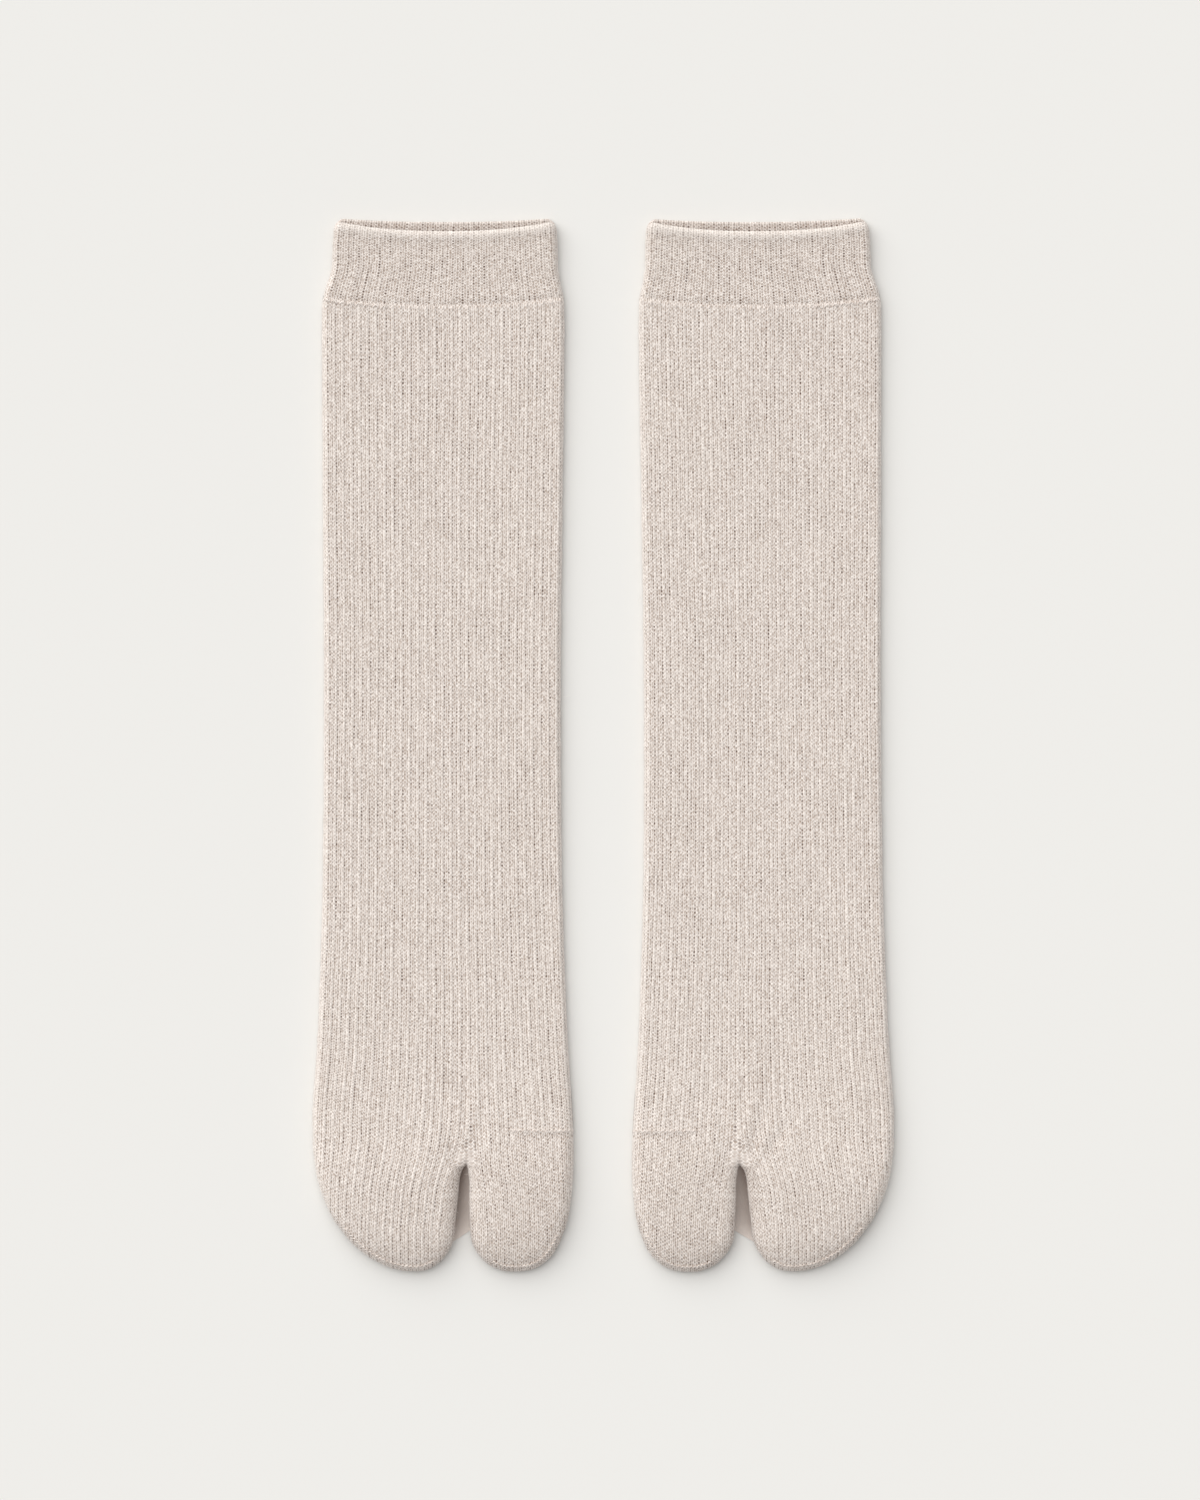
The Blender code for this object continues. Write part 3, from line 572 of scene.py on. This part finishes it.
def knit_mouth_and_inside(cloth, foot):
    """The soft rolled rim of the mouth, and the plain inside down to the ball of the foot. The rims
    are painted paler, partly as fluff and partly as painted light, and the inside has painted shade
    that deepens further in.
    """
    turns = np.linspace(0, math.pi, 7)[1:-1]
    row, wale = inside_rows[:, None], wales
    rims = {}
    for side in (1, -1):
        rim = [foot[side][0]]
        rim_pale = RIM_PALE if side > 0 else BACK_RIM_PALE
        for turn in turns:
            rolled_row, depth = (CUFF_WALL / 2 * (1 - f(turn)) for f in (math.sin, math.cos))
            rim.append(cloth.add(on_foot(wale, rolled_row, side, depth, 0.0), 0.0, -rim_pale))
        thinner = smooth((row_along(wale, row, side) - CUFF_LINE + 6.0) / 6.0)
        depth = CUFF_WALL + (LEG_WALL - CUFF_WALL) * thinner
        # Painted light on the rim, turning to painted shade further inside the mouth
        shade = -rim_pale + (rim_pale + INSIDE_SHADE) * smooth((row + 0.2) / 2.0)
        inside = cloth.add(on_foot(wale, row, side, depth, 0.0), 0.0, shade)
        rims[side] = np.vstack([rim, inside])
    join_edges(rims)
    run_in = np.concatenate([np.zeros(1), -turns * CUFF_WALL / 2, -3.0 - inside_rows])
    for side in (1, -1):
        cloth.panel(rims[side], wale, run_in[:, None] / COURSE, CUFF_KNIT, side, inside=True)
    bottom = np.vstack([rims[1][-1], rims[-1][-1]])
    last_courses = np.array([[-240.0], [-241.0]])
    cloth.panel(bottom[:, 1:-1], wale[1:-1], last_courses, CUFF_KNIT, inside=True)


def knit_sock():
    cloth = Cloth()
    foot = knit_leg_and_foot(cloth)
    for pocket in (FOUR_TOES, BIG_TOE):
        knit_toe_pocket(cloth, pocket, foot)
    knit_split_web(cloth)
    knit_mouth_and_inside(cloth, foot)
    return cloth


# Where each sock lies: 1 for the right foot's or -1 for its mirror image, how much further out
# its big toe lies, its ball of the foot, and how many degrees its cuff leans.
PAIR = {"right": (1, 0.0, (-56.354, -130.322), 0.0), "left": (-1, 1.2, (56.346, -130.322), 0.24)}


def on_the_table(foot, places):
    """Turns across, along and height into metres where that foot's sock lies."""
    sign, toe_spread, centre, lean = PAIR[foot]
    spread = smooth((places[..., 1] - 300.0) / 70.0) * smooth((places[..., 0] - 2.0) / 12.0)
    x, y = (places[..., 0] + toe_spread * spread) * sign, BALL - places[..., 1]
    turn = math.radians(lean)
    return MM * np.stack([centre[0] + x * math.cos(turn) - y * math.sin(turn),
                          centre[1] + x * math.sin(turn) + y * math.cos(turn),
                          places[..., 2]], axis=-1)


def smooth_mesh(name, foot, points, faces):
    mesh = bpy.data.meshes.new(name)
    mesh.from_pydata(on_the_table(foot, points), [], faces, shade_flat=False)
    return mesh


def place_in_scene(name, data):
    """An object of this name for a mesh, a lamp or a camera."""
    made = bpy.data.objects.new(name, data)
    bpy.context.scene.collection.objects.link(made)
    return made


def make_sock(foot, cloth, materials):
    name = foot + "_sock_knit"
    faces, stitches = np.concatenate(cloth.faces), np.concatenate(cloth.stitches)
    if PAIR[foot][0] < 0:
        faces, stitches = faces[:, ::-1], stitches[:, ::-1]
    mesh = smooth_mesh(name, foot, np.concatenate(cloth.points), faces.tolist())
    mesh.polygons.foreach_set("material_index", np.concatenate(cloth.finish).astype(np.int32))
    knit_map = mesh.uv_layers.new(name="stitches")
    knit_map.data.foreach_set("uv", stitches.reshape(-1).astype(np.float32))
    for label, values in (("ribbing", cloth.ribbing), ("shade", cloth.shade)):
        layer = mesh.attributes.new(label, "FLOAT", "POINT")
        layer.data.foreach_set("value", np.concatenate(values).astype(np.float32))
    for material in materials:
        mesh.materials.append(material)
    mesh.validate()
    return place_in_scene(name, mesh)


def fill(inputs, values):
    for label, value in values.items():
        inputs[label].default_value = value


class Yarn:
    """Wires up one finish of the yarn."""

    def __init__(self, name):
        self.material = bpy.data.materials.new(name)
        self.material.use_nodes = True
        self.tree = self.material.node_tree
        self.finish = self.tree.nodes["Principled BSDF"].inputs
        fill(self.finish, {"Roughness": 0.92, "Specular IOR Level": 0.25, "Sheen Weight": 0.40,
                           "Sheen Roughness": 0.5})

    def node(self, kind, *values, **settings):
        """A node with these settings, whose first inputs are fed these values."""
        made = self.tree.nodes.new(kind)
        for key, value in settings.items():
            setattr(made, key, value)
        for socket, value in zip(made.inputs, values):
            self.feed(socket, value)
        return made

    def feed(self, socket, value):
        if isinstance(value, bpy.types.NodeSocket):
            self.tree.links.new(value, socket)
        else:
            socket.default_value = value

    def sum(self, operation, *values, clamp=False):
        return self.node("ShaderNodeMath", *values, operation=operation, use_clamp=clamp).outputs[0]

    def times(self, first, *others):
        for other in others:
            first = self.sum("MULTIPLY", first, other)
        return first

    def scaled(self, value, by, plus, clamp=False):
        return self.sum("MULTIPLY_ADD", value, by, plus, clamp=clamp)

    def swung(self, middle, noise, reach):
        """The middle value, moved up and down by a noise."""
        return self.scaled(self.sum("SUBTRACT", noise, 0.5), reach, middle)

    def wave(self, turns):
        """1 at each whole turn, and 0 halfway between two."""
        return self.scaled(self.sum("COSINE", self.times(turns, 2 * math.pi)), 0.5, 0.5)

    def band(self, offset, width):
        """1 where the offset is none, falling away to nothing over about this width."""
        squared = self.sum("POWER", self.sum("DIVIDE", offset, width), 2.0)
        return self.sum("POWER", math.e, self.times(squared, -1.0))

    def place(self, x, y, z=0.0):
        return self.node("ShaderNodeCombineXYZ", x, y, z).outputs[0]

    def noise(self, where, scale, detail=0.0, roughness=0.5):
        where = self.place(*where) if isinstance(where, tuple) else where
        made = self.node("ShaderNodeTexNoise", where)
        fill(made.inputs, {"Scale": scale, "Detail": detail, "Roughness": roughness})
        return made.outputs[0]

    def chance(self, dimensions, *where):
        """A number from 0 to 1, by chance but always the same at one place."""
        return self.node("ShaderNodeTexWhiteNoise", self.place(*where),
                         noise_dimensions=dimensions).outputs[0]

    def measure(self, name):
        """What the mesh says of itself at a point."""
        return self.node("ShaderNodeAttribute", attribute_name=name).outputs["Fac"]

    def ramp(self, value, *stops):
        made = self.node("ShaderNodeValToRGB", value)
        for _ in stops[2:]:
            made.color_ramp.elements.new(0.5)
        for element, (place, colour) in zip(made.color_ramp.elements, stops):
            element.position = place
            element.color = colour if isinstance(colour, tuple) else (colour, colour, colour, 1.0)
        return made.outputs[0]

    def blend(self, share, first, second):
        made = self.node("ShaderNodeMix", share, data_type="RGBA")
        self.feed(made.inputs[6], first)
        self.feed(made.inputs[7], second)
        return made.outputs[2]

    def dye(self, colour):
        self.feed(self.finish["Base Color"], colour)

    def emboss(self, height, depth):
        made = self.node("ShaderNodeBump")
        fill(made.inputs, {"Strength": 0.8, "Distance": depth})
        self.feed(made.inputs["Height"], height)
        self.feed(self.finish["Normal"], made.outputs[0])


def screen_colour(red, green, blue):
    """An 8-bit colour as the shader's linear values."""
    return (*(((c / 255 + 0.055) / 1.055) ** 2.4 for c in (red, green, blue)), 1.0)


OATMEAL = screen_colour(225, 214.5, 207)
TAUPE = screen_colour(186, 169, 156)
CREAM = screen_colour(252, 243.5, 236)
# Paler colour for fluff and painted light, blended in where the mesh's shade is below 0
FLUFF_AND_PAINTED_LIGHT = screen_colour(247, 240, 233)
# Painted shade in the holes between stitches and wherever the mesh's shade is above 0
HOLLOW_SHADE = screen_colour(84, 58, 44)

# How dark the painted shade in the column of holes is at each quarter of a rib, first on the ribs,
# then on plain knit.
RIBBED_HOLES = ((0.0, 0.15), (0.25, 1.0), (0.5, 0.2), (0.75, 0.75), (1.0, 0.15))
PLAIN_HOLES = ((0.0, 1.0), (0.25, 0.35), (0.5, 0.75), (0.75, 0.35), (1.0, 1.0))
HOLE_DEPTH, LEG_RISE, LINE_RISE, GRAIN_RISE = -0.9, 0.35, 0.35, 0.5  # of RELIEF_DEPTH
# The mesh's shade above 0 is painted shade.
STITCH_SHADE, DEEP_SHADE = 0.26, 0.16  # how the mesh's shade darkens stitches, and everything
# The bright line on a rib's crest is a painted highlight.
LINE_WIDTH = 0.068  # of the bright line on a rib's crest, in ribs
RELIEF_DEPTH = 0.00022  # metres from the deepest hole to the highest loop


class Knit(Yarn):
    """A heathered knit, with its courses and wales counted by the mesh's stitch map. Every wale has
    a column of small holes on each side and a fainter one up its middle, darkened with painted
    shade."""

    def __init__(self, name, wale_scale, course_scale, has_ribs, holes_dark, highlights_bright):
        super().__init__(name)
        self.count_stitches(wale_scale, course_scale)
        self.has_ribs = has_ribs
        self.ribbing = self.measure("ribbing") if has_ribs else 0.0
        # The web in the split shows no stitches.
        self.stitched = self.sum("ADD", self.ribbing, 1.0, clamp=True) if has_ribs else 1.0
        line, hole, leg = self.painted_crest_highlights(), self.holes(), self.wave(self.slant)
        grain = self.noise((self.times(self.wale, 2.7), self.times(self.slant, 1.6), 8.0), 1.0)
        colour = self.ramp(self.heather(leg, grain), (0.0, TAUPE), (0.50, OATMEAL), (0.90, CREAM))
        # Painted highlight on the rib crests, blended towards cream
        colour = self.blend(self.times(line, highlights_bright), colour, CREAM)
        shade = self.measure("shade")
        deep = self.sum("MAXIMUM", shade, 0.0)
        # Painted shade: the holes, and the mesh's shade above 0, darken the colour towards the dark
        # hollow colour
        dark = self.times(hole, holes_dark)
        dark = self.scaled(self.times(deep, self.beat, self.stitched), STITCH_SHADE, dark)
        dark = self.scaled(deep, DEEP_SHADE, dark, clamp=True)
        colour = self.blend(dark, colour, HOLLOW_SHADE)
        # Where the shade is below 0 the colour is painted paler: fluff and painted light on the
        # rims, the folds, the cuff line's puffs and the web's end
        self.dye(self.blend(self.sum("MULTIPLY", shade, -1.0, clamp=True), colour, FLUFF_AND_PAINTED_LIGHT))
        height = self.scaled(hole, HOLE_DEPTH, self.times(leg, LEG_RISE))
        height = self.scaled(grain, GRAIN_RISE, self.scaled(line, LINE_RISE, height))
        self.emboss(height, RELIEF_DEPTH)

    def count_stitches(self, wale_scale, course_scale):
        """Columns of holes lie half a wale apart, and every other one is half a course lower."""
        stitch_map = self.node("ShaderNodeUVMap", uv_map="stitches")
        counts = self.node("ShaderNodeSeparateXYZ", stitch_map.outputs[0])
        wale = self.times(counts.outputs[0], wale_scale)
        course = self.times(counts.outputs[1], course_scale)
        stray_wale = self.noise((wale, self.times(course, 0.4)), 0.7, 1.0)
        stray_course = self.noise((wale, self.times(course, 0.3), 7.0), 0.8, 1.0)
        self.wale = self.swung(wale, stray_wale, 0.16)
        self.course = self.swung(course, stray_course, 0.7)
        doubled = self.times(self.wale, 2.0)
        self.column = self.sum("ROUND", doubled)
        self.from_column = self.sum("ABSOLUTE", self.sum("SUBTRACT", doubled, self.column))
        self.stepped = self.scaled(self.sum("PINGPONG", self.column, 1.0), 0.5, self.course)
        self.slant = self.scaled(self.from_column, 0.9, self.stepped)
        self.beat = self.wave(self.stepped)
        self.rib_phase = self.sum("FRACT", self.times(self.wale, 0.5))

    def holes(self):
        """Each hole, and each run of a column of them, shows more or less."""
        strength = self.ramp(self.rib_phase, *PLAIN_HOLES)
        if self.has_ribs:
            strength = self.blend(self.ribbing, strength, self.ramp(self.rib_phase, *RIBBED_HOLES))
        own = self.chance("2D", self.column, self.sum("ROUND", self.stepped))
        share = self.times(self.scaled(own, 0.8, 0.5), self.stitched)
        run = self.noise((self.times(self.column, 3.17), self.times(self.course, 0.10)), 1.0, 2.0)
        run = self.scaled(self.scaled(run, 2.6, -0.75, clamp=True), 0.66, 0.44)
        return self.times(self.beat, share, self.band(self.from_column, 0.50), strength, run)

    def painted_crest_highlights(self):
        """A painted highlight where the loops on a rib's crest catch the light, in broken runs."""
        rib = self.times(self.sum("ROUND", self.times(self.wale, 0.5)), 5.3)
        run = self.noise((rib, self.times(self.course, 0.11), 9.0), 1.0, 1.0)
        crest = self.band(self.sum("PINGPONG", self.rib_phase, 0.5), LINE_WIDTH)
        line = self.times(crest, self.scaled(run, 2.4, -0.6, clamp=True),
                          self.scaled(self.beat, -0.45, 1.0))
        return self.times(line, self.ribbing) if self.has_ribs else line

    def heather(self, leg, grain):
        """How pale the yarn is, along courses and columns and from stitch to stitch."""
        streak = self.noise((self.times(self.wale, 0.45),
                             self.times(self.sum("FLOOR", self.course), 13.7)), 1.0, 2.0, 0.6)
        mottle = self.noise((self.wale, self.times(self.course, 0.8), 4.0), 1.0, 2.0, 0.65)
        run = self.noise((self.times(self.column, 2.73), self.times(self.course, 0.16), 2.0),
                         1.0, 2.0)
        own = self.chance("3D", self.column, self.sum("FLOOR", self.slant), 3.0)
        # Painted light and shade on the stitches' rounding: leg makes each stitch's raised legs
        # lighter, and ridge makes the yarn darker next to each column of holes
        ridge = self.times(self.from_column, 2.0)
        tone = self.swung(0.5, streak, 0.26)
        for part, share in ((mottle, 0.14), (run, 0.20), (own, 0.30), (grain, 1.80), (leg, 0.60),
                            (ridge, 0.55)):
            part = self.times(self.sum("SUBTRACT", part, 0.5), self.stitched)
            tone = self.scaled(part, share, tone)
        return tone


body_knit = Knit("body_knit", wale_scale=1.0, course_scale=1.0, has_ribs=True,
                 holes_dark=0.95, highlights_bright=0.75)
cuff_knit = Knit("cuff_knit", wale_scale=0.75, course_scale=1.25, has_ribs=False,
                 holes_dark=1.05, highlights_bright=0.30)
sock_cloth = knit_sock()
finishes = (body_knit.material, cuff_knit.material)
socks = {foot: make_sock(foot, sock_cloth, finishes) for foot in PAIR}
for foot, sock in socks.items():
    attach(sock, "root")
    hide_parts(foot + "_foot_sock")


# ========================================
# The stitching: a row of yarn loops where the turned-over cuff is linked to the ribs, one along
# the start of the plain big toe, and the linked seams that close the two toe tips.
# The socks' own yarn, a little fuller, one loop to a wale.

LOOP_RADIUS, PUFF_RADIUS = 0.25, 0.29
PUFF_LENGTH = 1.5
SLANTED_WALES, SLANT = 18.0, 0.85  # how far from the little toe's edge stitches slant, in wales
LOOP_WIDTH = 0.62  # of a wale, or of the step along a seam
SEAM_STEP = 1.5
YARN_END = 0.45  # thickness of a yarn at its two ends
# Each toe's pocket, and how far its seam runs up the outer and the inner side from the tip
SEAMS = ((FOUR_TOES, 30.0, 9.0), (BIG_TOE, 22.0, 9.0))


def thread(routes, radius, sides):
    """Points and faces of yarns of this radius along routes, a row of points for each yarn.
    Each thins out at its two ends."""
    count, length = routes.shape[:2]
    heading = unit(np.gradient(routes, axis=1))
    least = np.eye(3)[np.abs(heading.mean(axis=1)).argmin(axis=1)]
    beside = unit(np.cross(heading, least[:, None, :]))
    above = np.cross(beside, heading)
    turn = np.arange(sides) * 2 * math.pi / sides
    thin = np.ones(length)
    thin[0] = thin[-1] = YARN_END
    ring = beside[:, :, None] * np.cos(turn)[:, None] + above[:, :, None] * np.sin(turn)[:, None]
    thickness = np.broadcast_to(radius, (count,))[:, None] * thin
    points = routes[:, :, None] + ring * thickness[..., None, None]
    index = np.arange(count * length * sides).reshape(count, length, sides)
    after = np.roll(index, -1, axis=2)
    walls = np.stack([index[:, :-1], after[:, :-1], after[:, 1:], index[:, 1:]], axis=-1)
    ends = np.concatenate([index[:, 0, ::-1], index[:, -1]])
    return points.reshape(-1, 3), walls.reshape(-1, 4).tolist() + ends.tolist()


def make_yarns(name, foot, kinds, sides, material):
    """One piece from several kinds of yarn, each given by its routes and its radius."""
    points, faces = np.empty((0, 3)), []
    for routes, radius in kinds:
        more_points, more_faces = thread(routes, radius, sides)
        faces += [[corner + len(points) for corner in face] for face in more_faces]
        points = np.vstack([points, more_points])
    mesh = smooth_mesh(name, foot, points, faces)
    mesh.materials.append(material)
    mesh.validate()
    yarns = place_in_scene(name, mesh)
    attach(yarns, "root")
    return yarns


def loop_shape():
    """A loop's course: how far across it and how far up it each of its points lies."""
    turn = np.linspace(-1.0, 1.0, 7)
    return turn, 1.0 - np.abs(turn) ** 1.6


def cuff_line_puffs(side):
    """The swollen first stitch of each rib, and slanted ones beside it near the little toe."""
    chance = np.random.default_rng(51)
    step = np.linspace(0.0, 1.0, 5)
    crest = np.arange(2.0, WALES, 2.0)
    near = crest[crest < SLANTED_WALES]
    start = np.concatenate([crest, near, near])
    lean = chance.uniform(-0.2, 0.2, len(crest))
    lean = np.concatenate([lean, SLANT + 0 * near, -SLANT + 0 * near])
    length = PUFF_LENGTH * chance.uniform(0.7, 1.2, len(start))
    wale = start[:, None] + lean[:, None] * step
    row = CUFF_LINE + 0.5 + length[:, None] * step
    bulge = 0.02 + 0.12 * np.sin(math.pi * step)
    return lift(on_foot(wale, row, side, 0.0, RIB_HEIGHT * 0.5 + bulge + 0 * row), PUFF_RADIUS)


def toe_line_loops():
    """Flat loops along the start of the plain big toe, following its straight line."""
    turn, up = loop_shape()
    wale = np.arange(TOE_LINE_WALE, WALES - 0.5, 1.0)[:, None] + LOOP_WIDTH * turn
    along = TOE_LINE - 0.3 - 1.1 * up
    across = bent_across(BIG_TOE, wale, along)
    return lay(across, along, 1, 0.0, 0.02 + 0.16 * up)


def tip_loops(pocket, outer_reach, inner_reach, side):
    """Loops over the linked seam that closes a toe, with their tops towards the foot."""
    path = tip_arc(pocket, 160, 80)
    run = np.concatenate([[0.0], np.cumsum(np.linalg.norm(np.diff(path, axis=0), axis=1))])
    tip = run[path[:, 1].argmax()]
    places = np.arange(tip - outer_reach, tip + inner_reach, SEAM_STEP)
    turn, up = loop_shape()
    at = places[:, None] + LOOP_WIDTH * SEAM_STEP * turn
    here, ahead = (np.stack([np.interp(place, run, path[:, i]) for i in (0, 1)], axis=-1)
                   for place in (at, at + 0.5))
    ahead = unit(ahead - here)
    inward = np.stack([ahead[..., 1], -ahead[..., 0]], axis=-1) * -pocket["side"]
    here = here + inward * (1.3 + 1.1 * up)[:, None]
    return lift(lay(here[..., 0], here[..., 1], side, 0.0, 0.08 + 0.14 * up), PUFF_RADIUS)


seam_yarn = Yarn("seam_yarn")
seam_place = seam_yarn.node("ShaderNodeTexCoord").outputs["Object"]
seam_tone = seam_yarn.noise(seam_place, 900.0, 2.0, 0.6)
seam_yarn.dye(seam_yarn.ramp(seam_tone, (0.25, TAUPE), (0.5, OATMEAL), (0.78, CREAM)))
seam_yarn.emboss(seam_yarn.noise(seam_place, 2500.0, 2.0), 0.0001)

for foot in PAIR:
    loops = [toe_line_loops()] + [tip_loops(*seam, side) for seam in SEAMS for side in (1, -1)]
    sewn = [(np.concatenate([cuff_line_puffs(1), cuff_line_puffs(-1)]), PUFF_RADIUS),
            (np.concatenate(loops), LOOP_RADIUS)]
    make_yarns(foot + "_sock_stitching", foot, sewn, 5, seam_yarn.material)


# ========================================
# The fuzz: fine fibre ends that stand off the spun yarn, most of them along the folds.
# The same cotton-blend fibres, pale where the light catches them, each rooted in the knit.

FOLD_FIBRES, FACE_FIBRES = 10000, 2400
FIBRE_RADIUS = 0.034
SHORTEST_FIBRE, LONGEST_FIBRE = 0.3, 2.4
ROOT_DEPTH, LOWEST_FIBRE = 0.05, 0.05


def fibres(cloth, seed):
    """Each fibre's route and radius, rooted in the outer faces, whose courses are above 0."""
    chance = np.random.default_rng(seed)
    outside = np.concatenate(cloth.stitches)[:, :, 1].min(axis=1) > 0.0
    corners = np.concatenate(cloth.points)[np.concatenate(cloth.faces)[outside]]
    facing = np.cross(corners[:, 2] - corners[:, 0], corners[:, 3] - corners[:, 1])
    facing, area = unit(facing), np.linalg.norm(facing, axis=1)
    on_fold = area * ((facing[:, 2] < 0.75) & (corners[:, :, 2].mean(axis=1) > 0.5))
    on_face = area * (facing[:, 2] > 0.0)
    picked = np.concatenate([chance.choice(len(area), FOLD_FIBRES, p=on_fold / on_fold.sum()),
                             chance.choice(len(area), FACE_FIBRES, p=on_face / on_face.sum())])
    s, t = chance.uniform(0, 1, (2, len(picked), 1))
    a, b, c, d = (corners[picked, i] for i in range(4))
    root = (a * (1 - s) + b * s) * (1 - t) + (d * (1 - s) + c * s) * t
    out = facing[picked]
    astray = chance.normal(0, 1, (len(picked), 3))
    heading = unit(out * chance.uniform(0.25, 1.0, (len(picked), 1)) + astray * 0.55)
    length = np.clip(chance.lognormal(-0.15, 0.5, (len(picked), 1)), SHORTEST_FIBRE, LONGEST_FIBRE)
    curl = chance.normal(0, 0.35, (len(picked), 3)) * length
    step = np.array((0.0, 0.55, 1.0))[:, None]
    reach = (heading * length)[:, None] * step + curl[:, None] * step ** 2
    routes = lift((root - out * ROOT_DEPTH)[:, None] + reach, LOWEST_FIBRE)
    return routes, FIBRE_RADIUS * chance.uniform(0.6, 1.25, len(picked))


fuzz_yarn = Yarn("fuzz")
fuzz_place = fuzz_yarn.node("ShaderNodeTexCoord").outputs["Object"]
fuzz_yarn.dye(fuzz_yarn.ramp(fuzz_yarn.noise(fuzz_place, 300.0), (0.3, OATMEAL), (0.7, CREAM)))
for foot, seed in (("right", 61), ("left", 62)):
    make_yarns(foot + "_sock_fuzz", foot, [fibres(sock_cloth, seed)], 3,
                            fuzz_yarn.material)


# ========================================
# The pale table top, a broad soft light from the upper left and the camera straight above.

FLOOR_HEIGHT = -0.0002  # so that the socks don't share a face with it
SKY_STRENGTH, KEY_STRENGTH = 0.487, 2.74
LIGHT_HEADING = Vector((0.50, -0.70, -0.80))
SENSOR_WIDTH = 36.0
CAMERA_HEIGHT, FRAME_HEIGHT = 2.6, 0.525

table_top = bpy.data.meshes.new("floor")
table_top.from_pydata([(-4, -4, 0), (4, -4, 0), (4, 4, 0), (-4, 4, 0)], [], [(0, 1, 2, 3)])
floor = place_in_scene("floor", table_top)
floor.location.z = FLOOR_HEIGHT
paint = bpy.data.materials.new("pale_table")
paint.use_nodes = True
fill(paint.node_tree.nodes["Principled BSDF"].inputs,
     {"Base Color": (0.80, 0.79, 0.765, 1), "Roughness": 0.9, "Specular IOR Level": 0.1})
table_top.materials.append(paint)

world = bpy.data.worlds.new("soft_room")
world.use_nodes = True
fill(world.node_tree.nodes["Background"].inputs,
     {"Color": (1.0, 1.0, 1.0, 1), "Strength": SKY_STRENGTH})
bpy.context.scene.world = world

key = bpy.data.lights.new("window_key", "SUN")
key.angle = math.radians(80)
key.energy = KEY_STRENGTH
key.color = (1.0, 0.995, 0.985)
key_lamp = place_in_scene("window_key", key)
key_lamp.rotation_mode = "QUATERNION"
key_lamp.rotation_quaternion = LIGHT_HEADING.to_track_quat("-Z", "Y")

lens = bpy.data.cameras.new("overhead")
lens.sensor_width = SENSOR_WIDTH
lens.lens = SENSOR_WIDTH * CAMERA_HEIGHT / FRAME_HEIGHT
lens.clip_end = 20.0
camera = place_in_scene("overhead", lens)
camera.location = (-0.00114, -0.00175, 2.603)
bpy.context.scene.camera = camera
bpy.context.scene.view_settings.view_transform = "Standard"
